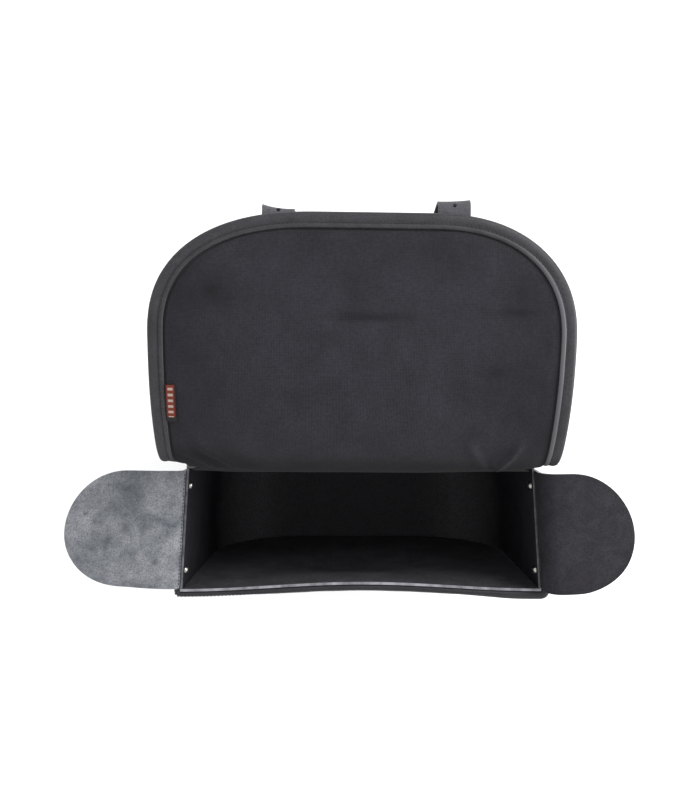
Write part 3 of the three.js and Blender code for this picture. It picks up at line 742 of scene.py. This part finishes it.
def lid_place(x, along, up):
    """A place at a height above the middle of the lid's leather, on the lining's side."""
    y, z, ny, nz = LID_PATH.at(along)
    high = up + lid_relief(x, along)
    return twisted(x, y - ny * high, z - nz * high)


def lid_reach(label, along, inset=0):
    """How far one side of the lid reaches from its middle line, measured inside an inset."""
    edge = LID_SIDES[label]
    full = LID_WIDTH / 2 + edge["side"] * LID_SHIFT
    past = along - CORNER_START
    if past <= 0:
        return mix(NECK_HALF, full, smooth((along - NECK_LENGTH) / SHOULDER_RUN)) - inset
    share = min(1, past / (LID_CORNER_LENGTH - inset))
    bend = max(0, 1 - share ** edge["squareness"]) ** (1 / edge["squareness"])
    return full - edge["reach"] + (edge["reach"] - inset) * bend


def lid_row(along, inset=0):
    return -lid_reach("left", along, inset), lid_reach("right", along, inset)


def lid_stations(start, inset, step):
    length = LID_CORNER_LENGTH - inset
    turns = spaced(0, math.pi / 2, step / length)
    return spaced(start, CORNER_START, step)[:-1] + [CORNER_START + length * math.sin(t) for t in turns]


def make_lid_leather():
    made = surface("lid_leather", lid_stations(-LID_OVERLAP, 0, 4), lid_row,
                   lambda x, s: lid_place(x, s, 0), 70, ["body", "dark_edge"])
    thicken(made, LID_LEATHER, 0, 1, 0)
    return place_on(made, "body_leather", "lid_shell")


# Folds of the lining: (x, along) of each end, half width and height, all in mm
FOLDS = (
    ((-172, 92), (-118, 40), 6, 3.4),
    ((-186, 80), (-146, 38), 5, 2.4),
    ((112, 90), (138, 48), 5, 3.0),
    ((163, 92), (144, 48), 5, 3.2),
    ((138, 70), (150, 44), 4, 2.0),
    ((198, 208), (182, 204), 3, 0.9),
    ((199, 199), (184, 196), 3, 0.8),
    ((198, 191), (186, 189), 3, 0.7),
    ((-30, 227), (42, 229), 5, -0.8),
    ((126, 236), (180, 232), 4, 0.7),
    ((-196, 262), (-120, 248), 9, 0.7),
)

# Dark smudges on the lining: (x, along), half length, half width and strength
SMUDGES = (
    ((-146, 252), 30, 22, 0.42),
    ((-150, 254), 13, 10, 0.6),
    ((5, 229), 38, 4.5, 0.6),
    ((152, 236), 30, 4.5, 0.5),
    ((134, 176), 11, 7, 0.45),
    ((-70, 150), 26, 14, 0.22),
    ((80, 290), 36, 12, 0.2),
    ((-190, 212), 9, 26, 0.25),
)


def fold_height(x, along):
    total = 0
    for (x0, s0), (x1, s1), width, height in FOLDS:
        run_x, run_s = x1 - x0, s1 - s0
        length = math.hypot(run_x, run_s)
        t = ((x - x0) * run_x + (along - s0) * run_s) / length ** 2
        off = ((x - x0) * run_s - (along - s0) * run_x) / length
        ends = smooth((t + 0.25) / 0.4) * smooth((1.25 - t) / 0.4)
        total += height * ends * math.exp(-(off / width) ** 2)
    return total


# Per point of the lining: its smudges, and painted shade along its edge by the binding and towards the hinge; it
# is also darker towards its sides and front
def smudge_and_shade_at(x, along):
    dark = 0
    for (x0, s0), half_length, half_width, strength in SMUDGES:
        ragged = 1 + 0.5 * wave(6, x, along, 9)
        far = ((x - x0) / half_length) ** 2 + ((along - s0) / half_width) ** 2
        dark = max(dark, strength * math.exp(-far * ragged))
    low, high = lining_row(along)
    inset = min(x - low, high - x, LID_LENGTH - BINDING_WIDTH - LINING_ROOM - along)
    # Painted shade: dark within about 2 mm of the lining's edge, where it meets the binding
    seam = 0.9 * (1 - smooth((inset - 0.3) / 1.6)) * smooth((along - NECK_LENGTH) / 10)
    # Painted shade: dark towards the hinge, reaching further in at the left
    hinge_shade_reach = 1 - smooth((x + 160) / 60)
    painted_hinge_shade = 0.85 * (1 - smooth((along - 44 - 22 * hinge_shade_reach) / 40))
    sides = 0.3 * (1 - smooth((x + 190) / 90)) + 0.3 * smooth((x - 110) / 60)
    front = 0.16 * smooth((along - 250) / 50)
    return min(1, max(dark + 0.5 * sides, seam, painted_hinge_shade, sides, front))


def lining_row(along):
    shoulder = smooth((along - NECK_LENGTH + SHOULDER_RUN) / SHOULDER_RUN)
    return lid_row(along, mix(LINING_NECK_INSET, BINDING_WIDTH + LINING_ROOM, shoulder))


def lining_up(x, along):
    share = min(1, max(0, along / LINING_BULGE_RUN))
    bulge = LINING_BULGE * math.sin(math.pi * share) ** 2
    bulge *= mix(0.1, 0.62, smooth((x + 195) / 60)) * (1 + 0.12 * wave(7, x, along, 60))
    bulge *= mix(1, 0.5, smooth((x - 60) / 100))
    low, high = lining_row(along)
    inset = min(x - low, high - x)
    from_front = LID_LENGTH - BINDING_WIDTH - LINING_ROOM - along
    free = smooth(inset / 12) * smooth(from_front / 12)
    over_rim = smooth((along - 30) / 26)
    slack = (0.9 + 0.9 * wave(8, x, along, 26) + 0.35 * wave(9, x, along, 9)) * free
    folds = fold_height(x, along) * smooth(inset / 5) * over_rim
    return mix(LINING_SEAT, LINING_LIE, smooth(share)) + bulge + max(-0.2, slack + folds) * over_rim


def make_lining():
    made = surface("lid_lining_cloth", lid_stations(-LINING_TUCK, BINDING_WIDTH + LINING_ROOM, 2.2), lining_row,
                   lambda x, s: lid_place(x, s, lining_up(x, s)), 170, ["lining"], smudge_and_shade_at=smudge_and_shade_at)
    thicken(made, LINING_CLOTH, 0, 0, 0, 0.2)
    return place_on(made, "lining_cloth", "lid_lining")


def corner_places(label, step):
    """Places round one front corner at an even step, worked out from many close ones."""
    close = []
    for i in range(1501):
        turn = math.pi / 2 * i / 1500
        along = CORNER_START + LID_CORNER_LENGTH * math.sin(turn)
        close.append((lid_reach(label, along), along))
    kept = [close[0]]
    for place in close:
        if math.dist(place, kept[-1]) >= step:
            kept.append(place)
    kept[-1] = close[-1]
    return kept


def lid_edge(step, start):
    """The lid's edge from the right shoulder round to the left one: (x, along, outward x, outward along)."""
    def side(label):
        rows = [(lid_reach(label, s), s) for s in spaced(start, CORNER_START, step)[:-1]]
        return rows + corner_places(label, step)
    right = side("right")
    left = [(-x, s) for x, s in reversed(side("left"))]
    front = [(x, LID_LENGTH) for x in spaced(right[-1][0], left[0][0], -step)[1:-1]]
    places = right + front + left
    rows = []
    for i, (x, s) in enumerate(places):
        ax, bx = places[max(0, i - 1)], places[min(len(places) - 1, i + 1)]
        run_x, run_s = bx[0] - ax[0], bx[1] - ax[1]
        length = math.hypot(run_x, run_s)
        rows.append((x, s, run_s / length, -run_x / length))
    return rows


# Section of the binding, folded round the edge: how far in from the edge and how far up.
# It has a raised ridge along its inner edge, and a sunk line where it is sewn.
BINDING_SECTION = (
    (14.0, 1.6), (14.3, 2.9), (14.0, 3.7), (13.2, 4.1), (11.4, 4.1), (10.2, 3.8), (9.6, 3.1), (9.1, 2.5),
    (8.3, 2.5), (7.4, 3.0), (5.0, 3.3), (1.6, 3.0), (-0.6, 2.2), (-1.7, 0.8), (-1.7, -0.8), (-0.8, -2.3),
    (1.4, -2.9), (6.0, -3.0), (12.6, -2.95), (14.0, -2.5), (14.0, -1.6), (6.0, -1.55), (-0.3, -1.55),
    (-0.3, 1.55), (6.0, 1.55),
)
BINDING_RIDGE = (1, 2, 3, 4, 5)
BINDING_SEAM_IN = 8.7
BINDING_SEAM_UP = 2.55


def make_binding():
    rings = []
    for x, along, nx, ns in lid_edge(3, BINDING_START):
        swell = 1 + 0.12 * wave(10, x, along, 18)
        ring = []
        for inward, up in BINDING_SECTION:
            high = up * (swell if up > 2.2 else 1)
            ring.append(lid_place(x - nx * inward, along - ns * inward, high))
        rings.append(ring)
    made = swept("lid_binding_leather", rings, ["binding", "ridge"], bands=BINDING_RIDGE)
    apply_modifiers(made, 60)
    return place_on(made, "binding_leather", "lid_binding")


def make_label():
    lie = LINING_LIE + LINING_CLOTH / 2 + GAP
    middle = LABEL_WIDTH / 2 - lid_reach("left", LABEL_ALONG, BINDING_WIDTH + GAP)
    tilt = 0.9

    def place(x, along):
        away = (x - middle) / LABEL_WIDTH + 0.5
        slope = (along - LABEL_ALONG) / LABEL_LENGTH
        lift = LABEL_CLOTH / 2 + 1.3 + 0.5 * math.sin(math.pi * slope) * away
        return lid_place(x + tilt * slope, along, lie + lift)

    made = surface("label_tab_tape", spaced(LABEL_ALONG, LABEL_ALONG + LABEL_LENGTH, 1.5),
                   lambda s: both(LABEL_WIDTH / 2, middle), place, 12, ["tape"], middle=middle)
    thicken(made, LABEL_CLOTH, 0, 0, 0, 0.15)
    return place_on(made, "label_cloth", "label_tab")


# Ears

# Stains on the left ear's flesh side: (across, along), radius and strength
EAR_STAINS = (
    ((17, 118), 2.6, 0.7), ((8, 107), 2.2, 0.6), ((0, 70), 5.5, 0.55), ((-25, 107), 2.0, 0.5),
    ((-38, 34), 2.8, 0.75), ((44, 114), 2.4, 0.5), ((30, 60), 16, 0.22), ((-8, 100), 14, 0.2),
)


def ear_stain(y, along):
    dark = 0
    for (y0, s0), radius, strength in EAR_STAINS:
        ragged = 1 + 0.6 * wave(13, y, along, 4)
        dark = max(dark, strength * math.exp(-ragged * ((y - y0) ** 2 + (along - s0) ** 2) / radius ** 2))
    return dark


def ear_place(label):
    ear = EARS[label]
    start = (HALF_LENGTH - EAR_BEND_DROP * math.sin(SIDE_LEAN), BODY_HEIGHT - EAR_BEND_DROP * math.cos(SIDE_LEAN))
    path = LeatherPath(start, SIDE_LEAN, EAR_LEANS[label], ear["flap"])

    def place(y, along, out):
        x, z, nx, nz = path.at(along)
        flap = smooth((along - 20) / 40)
        edge = (y - ear["shift"]) / EAR_HALF
        if edge < 0:
            y -= (y - ear["shift"]) * ear["front_taper"] * smooth(along / 110)
        y += ear["tip_shift"] * smooth(along / ear["flap"])
        curl = 2.2 * edge ** 2 * flap
        lift = flap * (1.8 * wave(11 + ear["side"], y, along, 48)) + curl * ear["side"] * 0.6
        far = GAP + out - lift
        return flared(ear["side"] * (x + nx * far), y, z + nz * far)

    return place


def ear_half(label):
    round_start = EARS[label]["flap"] - EAR_HALF

    def half(along):
        past = along - round_start
        if past <= 0:
            return EAR_HALF
        return max(1.2, math.sqrt(max(0, EAR_HALF ** 2 - past ** 2)))

    return half


def make_ear(label, inner, outer):
    ear = EARS[label]
    place = ear_place(label)
    round_start = ear["flap"] - EAR_HALF
    stations = spaced(-ear["base"], round_start, 2.2)[:-1]
    stations += [round_start + EAR_HALF * math.sin(t) for t in spaced(0, math.pi / 2, 2.2 / EAR_HALF)]
    half = ear_half(label)
    made = surface(f"ear_{label}_leather", stations, lambda s: both(half(s), ear["shift"]),
                   lambda y, s: place(y, s, 0), 68, [inner, "edge", outer], flip=ear["side"] > 0,
                   smudge_and_shade_at=ear_stain)
    thicken(made, EAR_LEATHER, -1, 1, 2)
    return place_on(made, "ear_flesh_leather" if label == "left" else "ear_grain_leather", f"ear_{label}")


# Rivets: a domed cap inside the bag, a shank and a flatter burr on the ear's base

RIVET_DOME = ((0, 3.4), (1.4, 3.3), (2.7, 2.9), (3.7, 2.1), (4.3, 1.1), (4.5, 0.5), (4.5, 0.0), (4.2, -0.1))
RIVET_BURR = ((2.0, -0.1), (2.0, -6.9), (4.4, -6.9), (4.2, -7.5), (2.8, -8.1), (0, -8.2))
RIVET_SIDES = 32
CAP_TIP = math.radians(14)


def make_rivet(name):
    low, high = (Vector(corner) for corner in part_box(name))
    middle = (low + high) / 2 / MM
    side = 1 if middle.x > 0 else -1
    axis = Vector((-side * math.cos(SIDE_LEAN), -MOUTH_FLARE / GUSSET_HALF, math.sin(SIDE_LEAN))).normalized()
    turn = Vector((0, 0, 1)).rotation_difference(axis)
    half_span = (high.x - low.x) / MM / 2
    head = middle + axis * (half_span - 3.2)
    tipped = Quaternion((0, 1, 0), side * CAP_TIP) @ turn
    rings = []
    for number, (radius, up) in enumerate(RIVET_DOME + RIVET_BURR):
        facing = tipped if number < len(RIVET_DOME) else turn
        ring = []
        for i in range(RIVET_SIDES):
            angle = 2 * math.pi * i / RIVET_SIDES
            spot = Vector((max(radius, 0.02) * math.cos(angle), max(radius, 0.02) * math.sin(angle), up))
            ring.append(tuple(head + facing @ spot))
        rings.append(ring)
    made = swept(f"{name}_cap", rings, ["nickel"])
    apply_modifiers(made, 40)
    return place_on(made, "nickel", name)


# Closing straps with punched holes

def strap_line(label):
    strap = STRAPS[label]
    under = LID_LEATHER / 2 + GAP
    over_binding = under + BINDING_LEATHER + GAP

    def off(along):
        return mix(under, over_binding, smooth((along - (LID_LENGTH - BINDING_WIDTH - 20)) / 10))

    start = LID_PATH.at(LID_LENGTH)
    low = off(LID_LENGTH)
    free = LeatherPath((start[0] + start[2] * low, start[1] + start[3] * low), 0, strap["leans"], STRAP_FREE)
    middle = strap["side"] * STRAP_MIDDLE

    def place(x, along, out):
        if along <= LID_LENGTH:
            return lid_place(x, along, -off(along) - out - GAP * 0.5)
        past = along - LID_LENGTH
        y, z, ny, nz = free.at(past)
        ease = 1 - smooth(past / 40)
        high = lid_relief(x, LID_LENGTH) * ease
        far = out + GAP * 0.5 - high
        across = (x - middle) / STRAP_HALF
        swing = smooth(past / 14) * (strap["curl"] * (across ** 2 - 0.4) - strap["slant"] * across)
        return twisted(x, y + ny * far + swing, z + nz * far)

    return place


def strap_half(along):
    past = (along - (LID_LENGTH + STRAP_FREE - STRAP_TIP)) / STRAP_TIP
    return mix(2 * STRAP_HALF, STRAP_TIP_WIDTH, max(0, past) ** 2) / 2


def make_strap(label):
    place = strap_line(label)
    middle = STRAPS[label]["side"] * STRAP_MIDDLE
    start = LID_LENGTH - STRAP_SEWN
    stations = spaced(start, LID_LENGTH, 5) + spaced(LID_LENGTH, LID_LENGTH + STRAP_FREE, 2)[1:]
    made = surface(f"closing_strap_{label}_leather", stations, lambda s: both(strap_half(s), middle),
                   lambda x, s: place(x, s, 0), 12, [STRAPS[label]["face"], "dark_edge", "inside"])
    wall = made.modifiers.new("wall", "SOLIDIFY")
    wall.thickness = STRAP_LEATHER * MM
    wall.offset = -1
    wall.material_offset_rim = 1
    wall.material_offset = 2
    first = LID_LENGTH + STRAPS[label]["first_hole"]
    holes = [
        [Vector(place(middle, first + i * STRAP_HOLE_PITCH, out)) for out in (-4, STRAP_LEATHER + 4)]
        for i in range(STRAP_HOLES)
    ]
    punch = make_punch(f"punch_{label}", holes)
    cut = made.modifiers.new("holes", "BOOLEAN")
    cut.operation = "DIFFERENCE"
    cut.object = punch
    cut.solver = "EXACT"
    rub_edges(made, 0.5, 60)
    apply_modifiers(made)
    bpy.data.objects.remove(punch)
    return place_on(made, "strap_leather", f"closing_strap_{label}")


def make_punch(name, holes):
    vertices = []
    faces = []
    sides = 20
    for inner, outer in holes:
        turn = Vector((0, 0, 1)).rotation_difference((outer - inner).normalized())
        base = len(vertices)
        for end in (inner, outer):
            for i in range(sides):
                angle = 2 * math.pi * i / sides
                spot = Vector((STRAP_HOLE_RADIUS * math.cos(angle), STRAP_HOLE_RADIUS * math.sin(angle), 0))
                vertices.append(to_metres(*(end + turn @ spot)))
        for i in range(sides):
            j = (i + 1) % sides
            faces.append((base + i, base + j, base + sides + j, base + sides + i))
        faces.append(tuple(base + i for i in range(sides))[::-1])
        faces.append(tuple(base + sides + i for i in range(sides)))
    return new_object(name, vertices, faces, ["dark_edge"])


# Buckles: a bent and joined frame of 4 mm bar, and a round prong that lies on its lower side

BUCKLE_BAR = 4
BUCKLE_ROUND = 3.2
PRONG_RADIUS = 1.7


def frame_section(x, y, z, out_x, out_z):
    """Rounded square section at a place on the frame. out_x and out_z point away from the window."""
    half, soft = BUCKLE_BAR / 2, 1.1
    ring = []
    for i in range(16):
        angle = 2 * math.pi * i / 16 + math.pi / 16
        c, s = math.cos(angle), math.sin(angle)
        across = math.copysign(min(half, soft + (half - soft) * 1.6 * abs(c)), c)
        deep = math.copysign(min(half, soft + (half - soft) * 1.6 * abs(s)), s)
        ring.append((x + out_x * across, y + deep, z + out_z * across))
    return ring


def make_buckle(hand):
    low, high = (Vector(corner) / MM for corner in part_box(f"buckle_{hand}"))
    middle = (low + high) / 2
    half_x = (high.x - low.x) / 2 - BUCKLE_BAR / 2
    half_z = (high.z - low.z) / 2 - BUCKLE_BAR / 2
    rings = []
    for corner_x, corner_z, start in ((1, 1, 0), (-1, 1, 90), (-1, -1, 180), (1, -1, 270)):
        for turn in (0, 22.5, 45, 67.5, 90):
            angle = math.radians(start + turn)
            c, s = math.cos(angle), math.sin(angle)
            x = middle.x + corner_x * (half_x - BUCKLE_ROUND) + BUCKLE_ROUND * c
            z = middle.z + corner_z * (half_z - BUCKLE_ROUND) + BUCKLE_ROUND * s
            rings.append(frame_section(x, middle.y, z, c, s))
    frame_piece = swept(f"buckle_{hand}_frame", rings, ["nickel"], loop=True)
    apply_modifiers(frame_piece, 50)
    rings = []
    top, bottom = middle.z + half_z, middle.z - half_z - 0.6
    for share in spaced(0, 1, 1 / 14):
        radius = PRONG_RADIUS * (1 - 0.25 * share) * (1 if 0 < share < 1 else 0.5)
        z = mix(top + 1.0, bottom, share)
        y = middle.y - mix(1.2, BUCKLE_BAR / 2 + 0.9, smooth(share * 1.3)) - 0.8 * math.sin(math.pi * share)
        rings.append([(middle.x + radius * math.cos(a), y + radius * math.sin(a), z)
                      for a in spaced(0, 2 * math.pi, math.pi / 8)[:-1]])
    prong = swept(f"buckle_{hand}_prong", rings, ["nickel"])
    apply_modifiers(prong, 60)
    place_on(frame_piece, "nickel", f"buckle_{hand}")
    place_on(prong, "nickel", f"buckle_{hand}")


# Pieces whose construction is already right: copied, merged and given rubbed edges

def refined(node, edge_round):
    name = f"{node}_leather"
    work = bmesh.new()
    work.from_mesh(bpy.data.objects[node].data)
    bmesh.ops.remove_doubles(work, verts=work.verts, dist=0.00001)
    bmesh.ops.dissolve_limit(work, angle_limit=math.radians(1), verts=work.verts, edges=work.edges)
    mesh = bpy.data.meshes.new(name)
    work.to_mesh(mesh)
    work.free()
    mesh.materials.append(MATERIALS["chape"])
    made = linked(name, mesh)
    rub_edges(made, edge_round, 40)
    apply_modifiers(made, 60)
    return place_on(made, "strap_leather", node)


# Stitches, made by Geometry Nodes: a short thread at each step along a seam

def stitch_tree():
    tree = bpy.data.node_groups.new("stitch_row", "GeometryNodeTree")
    face = tree.interface
    face.new_socket("Seam", in_out="INPUT", socket_type="NodeSocketGeometry")
    for name, value in (("Pitch", 0.0045), ("Thread radius", 0.0005), ("Stitch length", 0.0033)):
        socket = face.new_socket(name, in_out="INPUT", socket_type="NodeSocketFloat")
        socket.default_value = value
    face.new_socket("Thread", in_out="INPUT", socket_type="NodeSocketMaterial")
    face.new_socket("Stitches", in_out="OUTPUT", socket_type="NodeSocketGeometry")
    given = add(tree, "NodeGroupInput").outputs
    points = add(tree, "GeometryNodeCurveToPoints", {"mode": "LENGTH"}, {
        "Curve": given["Seam"], "Length": given["Pitch"],
    })
    bead = add(tree, "GeometryNodeMeshUVSphere", inputs={"Segments": 8, "Rings": 6, "Radius": 1.0})
    half = add(tree, "ShaderNodeMath", {"operation": "MULTIPLY"}, {0: given["Stitch length"], 1: 0.5})
    shape = add(tree, "ShaderNodeCombineXYZ", inputs={
        "X": given["Thread radius"], "Y": given["Thread radius"], "Z": half.outputs[0],
    })
    stretched = add(tree, "GeometryNodeTransform", inputs={
        "Geometry": bead.outputs["Mesh"], "Scale": shape.outputs[0],
    })
    laid = add(tree, "GeometryNodeInstanceOnPoints", inputs={
        "Points": points.outputs["Points"], "Instance": stretched.outputs["Geometry"],
        "Rotation": points.outputs["Rotation"],
    })
    real = add(tree, "GeometryNodeRealizeInstances", inputs={"Geometry": laid.outputs["Instances"]})
    smoothed = add(tree, "GeometryNodeSetShadeSmooth", inputs={"Geometry": real.outputs["Geometry"]})
    dyed = add(tree, "GeometryNodeSetMaterial", inputs={
        "Geometry": smoothed.outputs["Geometry"], "Material": given["Thread"],
    })
    add(tree, "NodeGroupOutput", inputs={"Stitches": dyed.outputs["Geometry"]})
    return tree


STITCH_TREE = stitch_tree()


def stitches(name, seams, material, slot_name, pitch=4.5, radius=0.5, length=3.3):
    """Sews along each seam, a list of places in mm, and keeps the result as one mesh."""
    curve = bpy.data.curves.new(f"{name}_seams", "CURVE")
    curve.dimensions = "3D"
    for seam in seams:
        spline = curve.splines.new("POLY")
        spline.points.add(len(seam) - 1)
        for point, place in zip(spline.points, seam):
            point.co = (*to_metres(*place), 1)
    guide = linked(f"{name}_seams", curve)
    sewing = guide.modifiers.new("sewing", "NODES")
    sewing.node_group = STITCH_TREE
    values = {"Pitch": pitch * MM, "Thread radius": radius * MM, "Stitch length": length * MM,
              "Thread": MATERIALS[material]}
    for item in STITCH_TREE.interface.items_tree:
        if item.in_out == "INPUT" and item.name in values:
            sewing[item.identifier] = values[item.name]
    graph = bpy.context.evaluated_depsgraph_get()
    mesh = bpy.data.meshes.new_from_object(guide.evaluated_get(graph), depsgraph=graph)
    bpy.data.objects.remove(guide)
    return place_on(linked(name, mesh), slot_name)


def panel_seam(side, relief, inset):
    seam = []
    for x, z, nx, nz in body_outline(3):
        px, pz = x - nx * inset, z - nz * inset
        if pz > BODY_HEIGHT - 4:
            continue
        bow = front_bow(px, pz) if side < 0 else 0
        seam.append(flared(px, side * (PANEL_OUTER + 0.1 + relief(px, pz)) + bow, pz))
    return seam


# Seams of the roll: how far out from the rim and how far above it. The inner one runs below the rim.
ROLL_SEAMS = ((5.1, -16.4), (5.6, 0.3))
INNER_SEAM_DROP = 14
PANEL_SEAM_INSET = 6
HINGE_SEAMS = (6, 18)


def make_stitches():
    edge = lid_edge(2, BINDING_START + 3)
    seams = [
        [lid_place(x - nx * BINDING_SEAM_IN, s - ns * BINDING_SEAM_IN, up) for x, s, nx, ns in edge]
        for up in (BINDING_SEAM_UP, -3.0)
    ]
    stitches("binding_stitches", seams, "thread", "binding_leather", 4.2, 0.5, 3.2)

    seams = [
        [flared(x + nx * out, y + ny * out, BODY_HEIGHT + up) for x, y, nx, ny in rim_path(4)]
        for out, up in ROLL_SEAMS
    ]
    z = BODY_HEIGHT - INNER_SEAM_DROP
    seams.append([
        flared(x, front_bow(x, z) - PANEL_INNER + 0.1, z)
        for x in spaced(-HALF_LENGTH + 9, HALF_LENGTH - 9, 4)
    ])
    stitches("rim_stitches", seams, "thread", "binding_leather", 4.2, 0.5, 3.2)

    seams = []
    for label in EARS:
        place = ear_place(label)
        ear = EARS[label]
        ends = spaced(ear["shift"] - EAR_HALF + 5, ear["shift"] + EAR_HALF - 5, 3)
        seams.append([place(y, 5, -0.1) for y in ends])
        seams.append([place(y, -ear["base"] + 5, EAR_LEATHER + 0.1) for y in ends])
    stitches("ear_stitches", seams, "thread", "ear_grain_leather", 4.0, 0.6, 2.9)

    seams = [panel_seam(-1, front_relief, PANEL_SEAM_INSET), panel_seam(1, back_relief, PANEL_SEAM_INSET)]
    stitches("panel_stitches", seams, "pale_thread", "body_leather", 5.0, 0.55, 3.8)

    seams = []
    for low in HINGE_SEAMS:
        seams.append([lid_place(x, -LID_OVERLAP + low, -LID_LEATHER / 2 - 0.1)
                      for x in spaced(-NECK_HALF + 6, NECK_HALF - 6, 4)])
    stitches("hinge_stitches", seams, "pale_thread", "body_leather", 5.0, 0.5, 3.8)

    seams = []
    for label, strap in STRAPS.items():
        place = strap_line(label)
        middle = strap["side"] * STRAP_MIDDLE
        start = LID_LENGTH - STRAP_SEWN + 4
        end = LID_LENGTH - BINDING_WIDTH - 24
        for offset in (-STRAP_HALF + 4, STRAP_HALF - 4):
            seams.append([place(middle + offset, s, STRAP_LEATHER + 0.1)
                          for s in spaced(start, end, 4)])
        for s in (start, end):
            seams.append([place(middle + x, s, STRAP_LEATHER + 0.1)
                          for x in spaced(-STRAP_HALF + 5, STRAP_HALF - 5, 4)])
    stitches("strap_stitches", seams, "pale_thread", "strap_leather", 4.5, 0.5, 3.4)


# Everything that shows

make_front_panel()
make_back_panel()
make_gusset()
make_rim_roll()
make_lid_leather()
lining = make_lining()
make_binding()
label_tab = make_label()
make_ear("left", "grey_flesh", "body")
make_ear("right", "ear_grain", "body")
for rivet_name in ("rivet_left_front", "rivet_left_back", "rivet_right_front", "rivet_right_back"):
    make_rivet(rivet_name)
make_strap("left")
make_strap("right")
for hand in ("left", "right"):
    make_buckle(hand)
    refined(f"chape_{hand}", 0.45)
    refined(f"yoke_loop_{hand}", 0.6)
make_stitches()

# The area of the lining's flat cut outline, worked out without its mesh; the result is not kept
LINING_INSET = BINDING_WIDTH + LINING_ROOM


def cut_area(stations, row_at):
    """Square millimetres of a flat cut, from how wide it is at each length along it."""
    widths = [high - low for low, high in map(row_at, stations)]
    return sum((b - a) * (u + v) / 2 for a, b, u, v in zip(stations, stations[1:], widths, widths[1:]))


cut_area(lid_stations(-LINING_TUCK, LINING_INSET, 2.2), lining_row) * MM ** 2


# Stage, light and camera

def make_floor():
    half = PALE_FLOOR_SIZE / 2
    corners = [(-half, -half, 0), (half, -half, 0), (half, half, 0), (-half, half, 0)]
    mesh = bpy.data.meshes.new("floor")
    mesh.from_pydata(corners, [], [(0, 1, 2, 3)])
    mesh.materials.append(MATERIALS["floor"])
    linked("floor", mesh)


def make_light(name, place, aim, size, power):
    lamp = bpy.data.lights.new(name, "AREA")
    lamp.shape = "SQUARE"
    lamp.size = size
    lamp.energy = power
    made = linked(name, lamp)
    made.location = place
    made.rotation_euler = (Vector(aim) - Vector(place)).to_track_quat("-Z", "Y").to_euler()


def make_world(strength):
    world = bpy.data.worlds.new("studio")
    world.use_nodes = True
    background = world.node_tree.nodes["Background"]
    background.inputs["Color"].default_value = (1, 1, 1, 1)
    background.inputs["Strength"].default_value = strength
    bpy.context.scene.world = world


# The photograph looks almost straight down from above the lid, fitted to the rims, the ears' tips and the lid
PHOTO_LONG_SIDE = 800
FOCAL_PIXELS = 921
SENSOR_WIDTH = 36
CAMERA_PLACE = (-15.7, 211.2, 1325.4)
CAMERA_TURN = (-0.0623, -0.0036, -0.0007)


def make_camera():
    data = bpy.data.cameras.new("camera")
    data.sensor_width = SENSOR_WIDTH
    data.lens = FOCAL_PIXELS / PHOTO_LONG_SIDE * SENSOR_WIDTH
    data.clip_end = 30
    camera = linked("camera", data)
    turn = Matrix.Rotation(CAMERA_TURN[0], 4, "X") @ Matrix.Rotation(CAMERA_TURN[1], 4, "Y")
    turn = turn @ Matrix.Rotation(CAMERA_TURN[2], 4, "Z")
    camera.matrix_world = Matrix.Translation(to_metres(*CAMERA_PLACE)) @ turn
    bpy.context.scene.camera = camera


make_floor()
make_world(1.15)
make_light("key_back_right", (1.5, 1.7, 1.9), (0, 0, 0.3), 1.0, 42)
make_light("side_right", (2.4, 0.1, 0.9), (0, 0.1, 0.35), 0.9, 45)
make_camera()
bpy.context.scene.view_settings.view_transform = "Standard"
